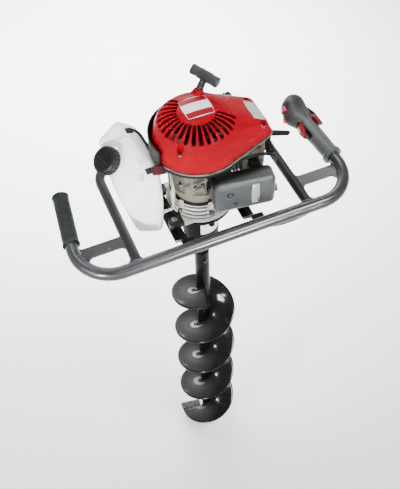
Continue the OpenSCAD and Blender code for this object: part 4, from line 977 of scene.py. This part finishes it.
def print_shader(centre, half, corner):
    """Pale border and band on red; sizes in metres from the plate's centre."""
    material, tree, shader = plain_shader("plate_print")
    place = place_on(tree)
    across = [calc(tree, "SUBTRACT", place[axis], middle) for axis, middle in zip("XY", centre)]
    past = [calc(tree, "SUBTRACT", calc(tree, "ABSOLUTE", part), size - corner)
            for part, size in zip(across, half)]
    outward = length_of(tree, *(calc(tree, "MAXIMUM", part, 0.0) for part in past))
    rim = calc(tree, "GREATER_THAN", outward, corner - PRINT_BORDER)
    band = calc(tree, "MULTIPLY", calc(tree, "GREATER_THAN", across[1], PRINT_BAND[0]),
                calc(tree, "LESS_THAN", across[1], PRINT_BAND[1]))
    pale = calc(tree, "MAXIMUM", rim, band)
    feed(tree, shader, Base_Color=ramp(tree, pale, PRINT_RED, PRINT_PALE, (0.4, 0.6)),
         Roughness=span(tree, noise_at(tree, PRINT_DRIFT), *PRINT_ROUGH),
         Specular_IOR_Level=PRINT_SPECULAR)
    return material


crown_plate = rounded_plate("crown_plate", PLATE_AT, *PLATE_HALF, PLATE_CORNER,
                            lambda x, y: dome_height(math.hypot(x, y)) - PLATE_SUNK, PLATE_THICK)
crown_plate.data.materials.append(print_shader(
    [v / 1000 for v in PLATE_AT], [v / 1000 for v in PLATE_HALF], PLATE_CORNER / 1000))
settle(crown_plate, "frame")
print("crown plate:", len(crown_plate.data.polygons), "faces")

# %% [markdown]
# The plate on the tail is a bare sheet that follows the rounded cover. A Shrinkwrap modifier could
# press it on, but casting a ray down at each of its points also keeps its edge crisp.

# %% tail plate
TAIL_AT, TAIL_HALF, TAIL_CORNER, TAIL_SUNK, TAIL_THICK = (113, -2), (13, 25), 3, 0.2, 0.6
RAY_FROM_Z, DOWN = 2.0, Vector((0, 0, -1))


def top_of(piece):
    """A function that gives the height of a piece's upper surface at (x, y), in mm."""
    surface = BVHTree.FromObject(piece, bpy.context.evaluated_depsgraph_get())

    def height_at(x, y):
        hit = surface.ray_cast(Vector((x / 1000, y / 1000, RAY_FROM_Z)), DOWN)[0]
        return hit.z * 1000

    return height_at


pale_sheet = finish("pale_sheet", (0.4, 0.4, 0.39), (0.46, 0.46, 0.45), (0.35, 0.45),
                    drift=60, grain=1500, dent=0.05, specular=0.3)
on_cover = top_of(mouldings["starter_cover"])
tail_plate = rounded_plate("tail_plate", TAIL_AT, *TAIL_HALF, TAIL_CORNER,
                           lambda x, y: on_cover(x, y) - TAIL_SUNK, TAIL_THICK)
tail_plate.data.materials.append(pale_sheet)
settle(tail_plate, "frame")
print("tail plate:", len(tail_plate.data.polygons), "faces")

# %% [markdown]
# ## Small fittings
#
# The muffler carries a bare plate and a ring, the tank a clip and two moulded bosses, and its
# bracket a flange. All are flat plates with round corners, stood on a surface by its normal; a disc
# is a plate whose corner is as large as its half width. Plain boxes and cylinders would have hard
# square rims here.

# %% plates and discs on a surface
def stand(piece, at_mm, normal):
    """Turn a plate that was made flat so that it lies at a point of a surface with that normal."""
    out = Vector(normal).normalized()
    right = UP.cross(out).normalized()
    turn = Matrix((right, out.cross(right), out)).transposed().to_4x4()
    piece.data.transform(Matrix.Translation(Vector(at_mm) / 1000) @ turn)
    return piece


def fitting(name, at_mm, normal, half, corner, thick, coat):
    """A small plate in a given finish, half sunk into a surface; in mm."""
    plate = rounded_plate(name, (0, 0), *half, corner, lambda x, y: -thick / 2, thick, cuts=3)
    plate.data.materials.append(coat)
    settle(stand(plate, at_mm, normal), "frame")
    print(name, len(plate.data.polygons), "faces")


def disc(name, at_mm, normal, radius, thick, coat):
    """A round fitting; in mm."""
    fitting(name, at_mm, normal, (radius, radius), radius, thick, coat)


MUFFLER_OUT = (-0.16, -0.99, 0)
fitting("muffler_plate", (71.8, -103.6, 1059.4), MUFFLER_OUT, half=(8, 25), corner=1.5,
        thick=0.8, coat=pale_sheet)
fitting("tank_clip", (-102.7, 90, 1118.6), (0.29, 0.01, 0.96), half=(7, 7), corner=2,
        thick=5, coat=black_plastic)
fitting("bracket_flange", (-88, -30, 1119), (-0.25, -0.97, 0), half=(13, 10), corner=3,
        thick=4, coat=bracket_paint)

# %% bosses of the tank and ring of the muffler
BOSSES = {  # place in mm, normal, radius in mm
    "rear": ((-120.9, 84.5, 1116.4), (-0.52, -0.13, 0.84), 5),
    "front": ((-117.3, -11.7, 1094.4), (-0.77, -0.31, 0.56), 6)}
SHADE_RING_THICK, PEG_THICK, PEG_SHARE = 1.2, 3.2, 0.65
# The grey disc under each pale peg is painted shade: the dark ring round a raised boss.
for where, (at, normal, r) in BOSSES.items():
    disc("tank_boss_" + where, at, normal, r, SHADE_RING_THICK, pale_sheet)
    disc("tank_peg_" + where, at, normal, PEG_SHARE * r, PEG_THICK, tank_plastic)

EYE_AT = (23.5, -95.9, 1068.4)
disc("muffler_eye", EYE_AT, MUFFLER_OUT, radius=6.8, thick=3.4,
     coat=carrier_paint)
disc("muffler_eye_face", EYE_AT, MUFFLER_OUT, radius=3.6, thick=4.4,
     coat=muffler_steel)

# %% [markdown]
# A black rubber tube follows the edge of the tank: painted shade, for the dark gap between the tank
# and the shroud. A short sleeve guards the hose where it bends. Both are round, so the tube helper
# makes them as well.

# %% shade along the tank's edge, and hose sleeve
EDGE_SHADE_ROUTE = [(-99, 94, 1117.5), (-87, 82, 1113.5), (-83, 52, 1110.5), (-82, 10, 1108)]
SLEEVE_ROUTE = [(-71, -45.4, 1050), (-71, -46, 1060), (-70.3, -45, 1071)]
EDGE_SHADE_R, SLEEVE_R = 3.2, 4.6
# Painted shade: a black tube lies in the dark gap along the tank's edge.
edge_shade = round_tube("tank_strap", EDGE_SHADE_ROUTE, EDGE_SHADE_R, boot_rubber)
settle(edge_shade, "frame")
sleeve = round_tube("hose_sleeve", SLEEVE_ROUTE, SLEEVE_R, hose_vinyl)
settle(sleeve, "frame")
print("strap and sleeve:", len(edge_shade.data.polygons) + len(sleeve.data.polygons), "faces")
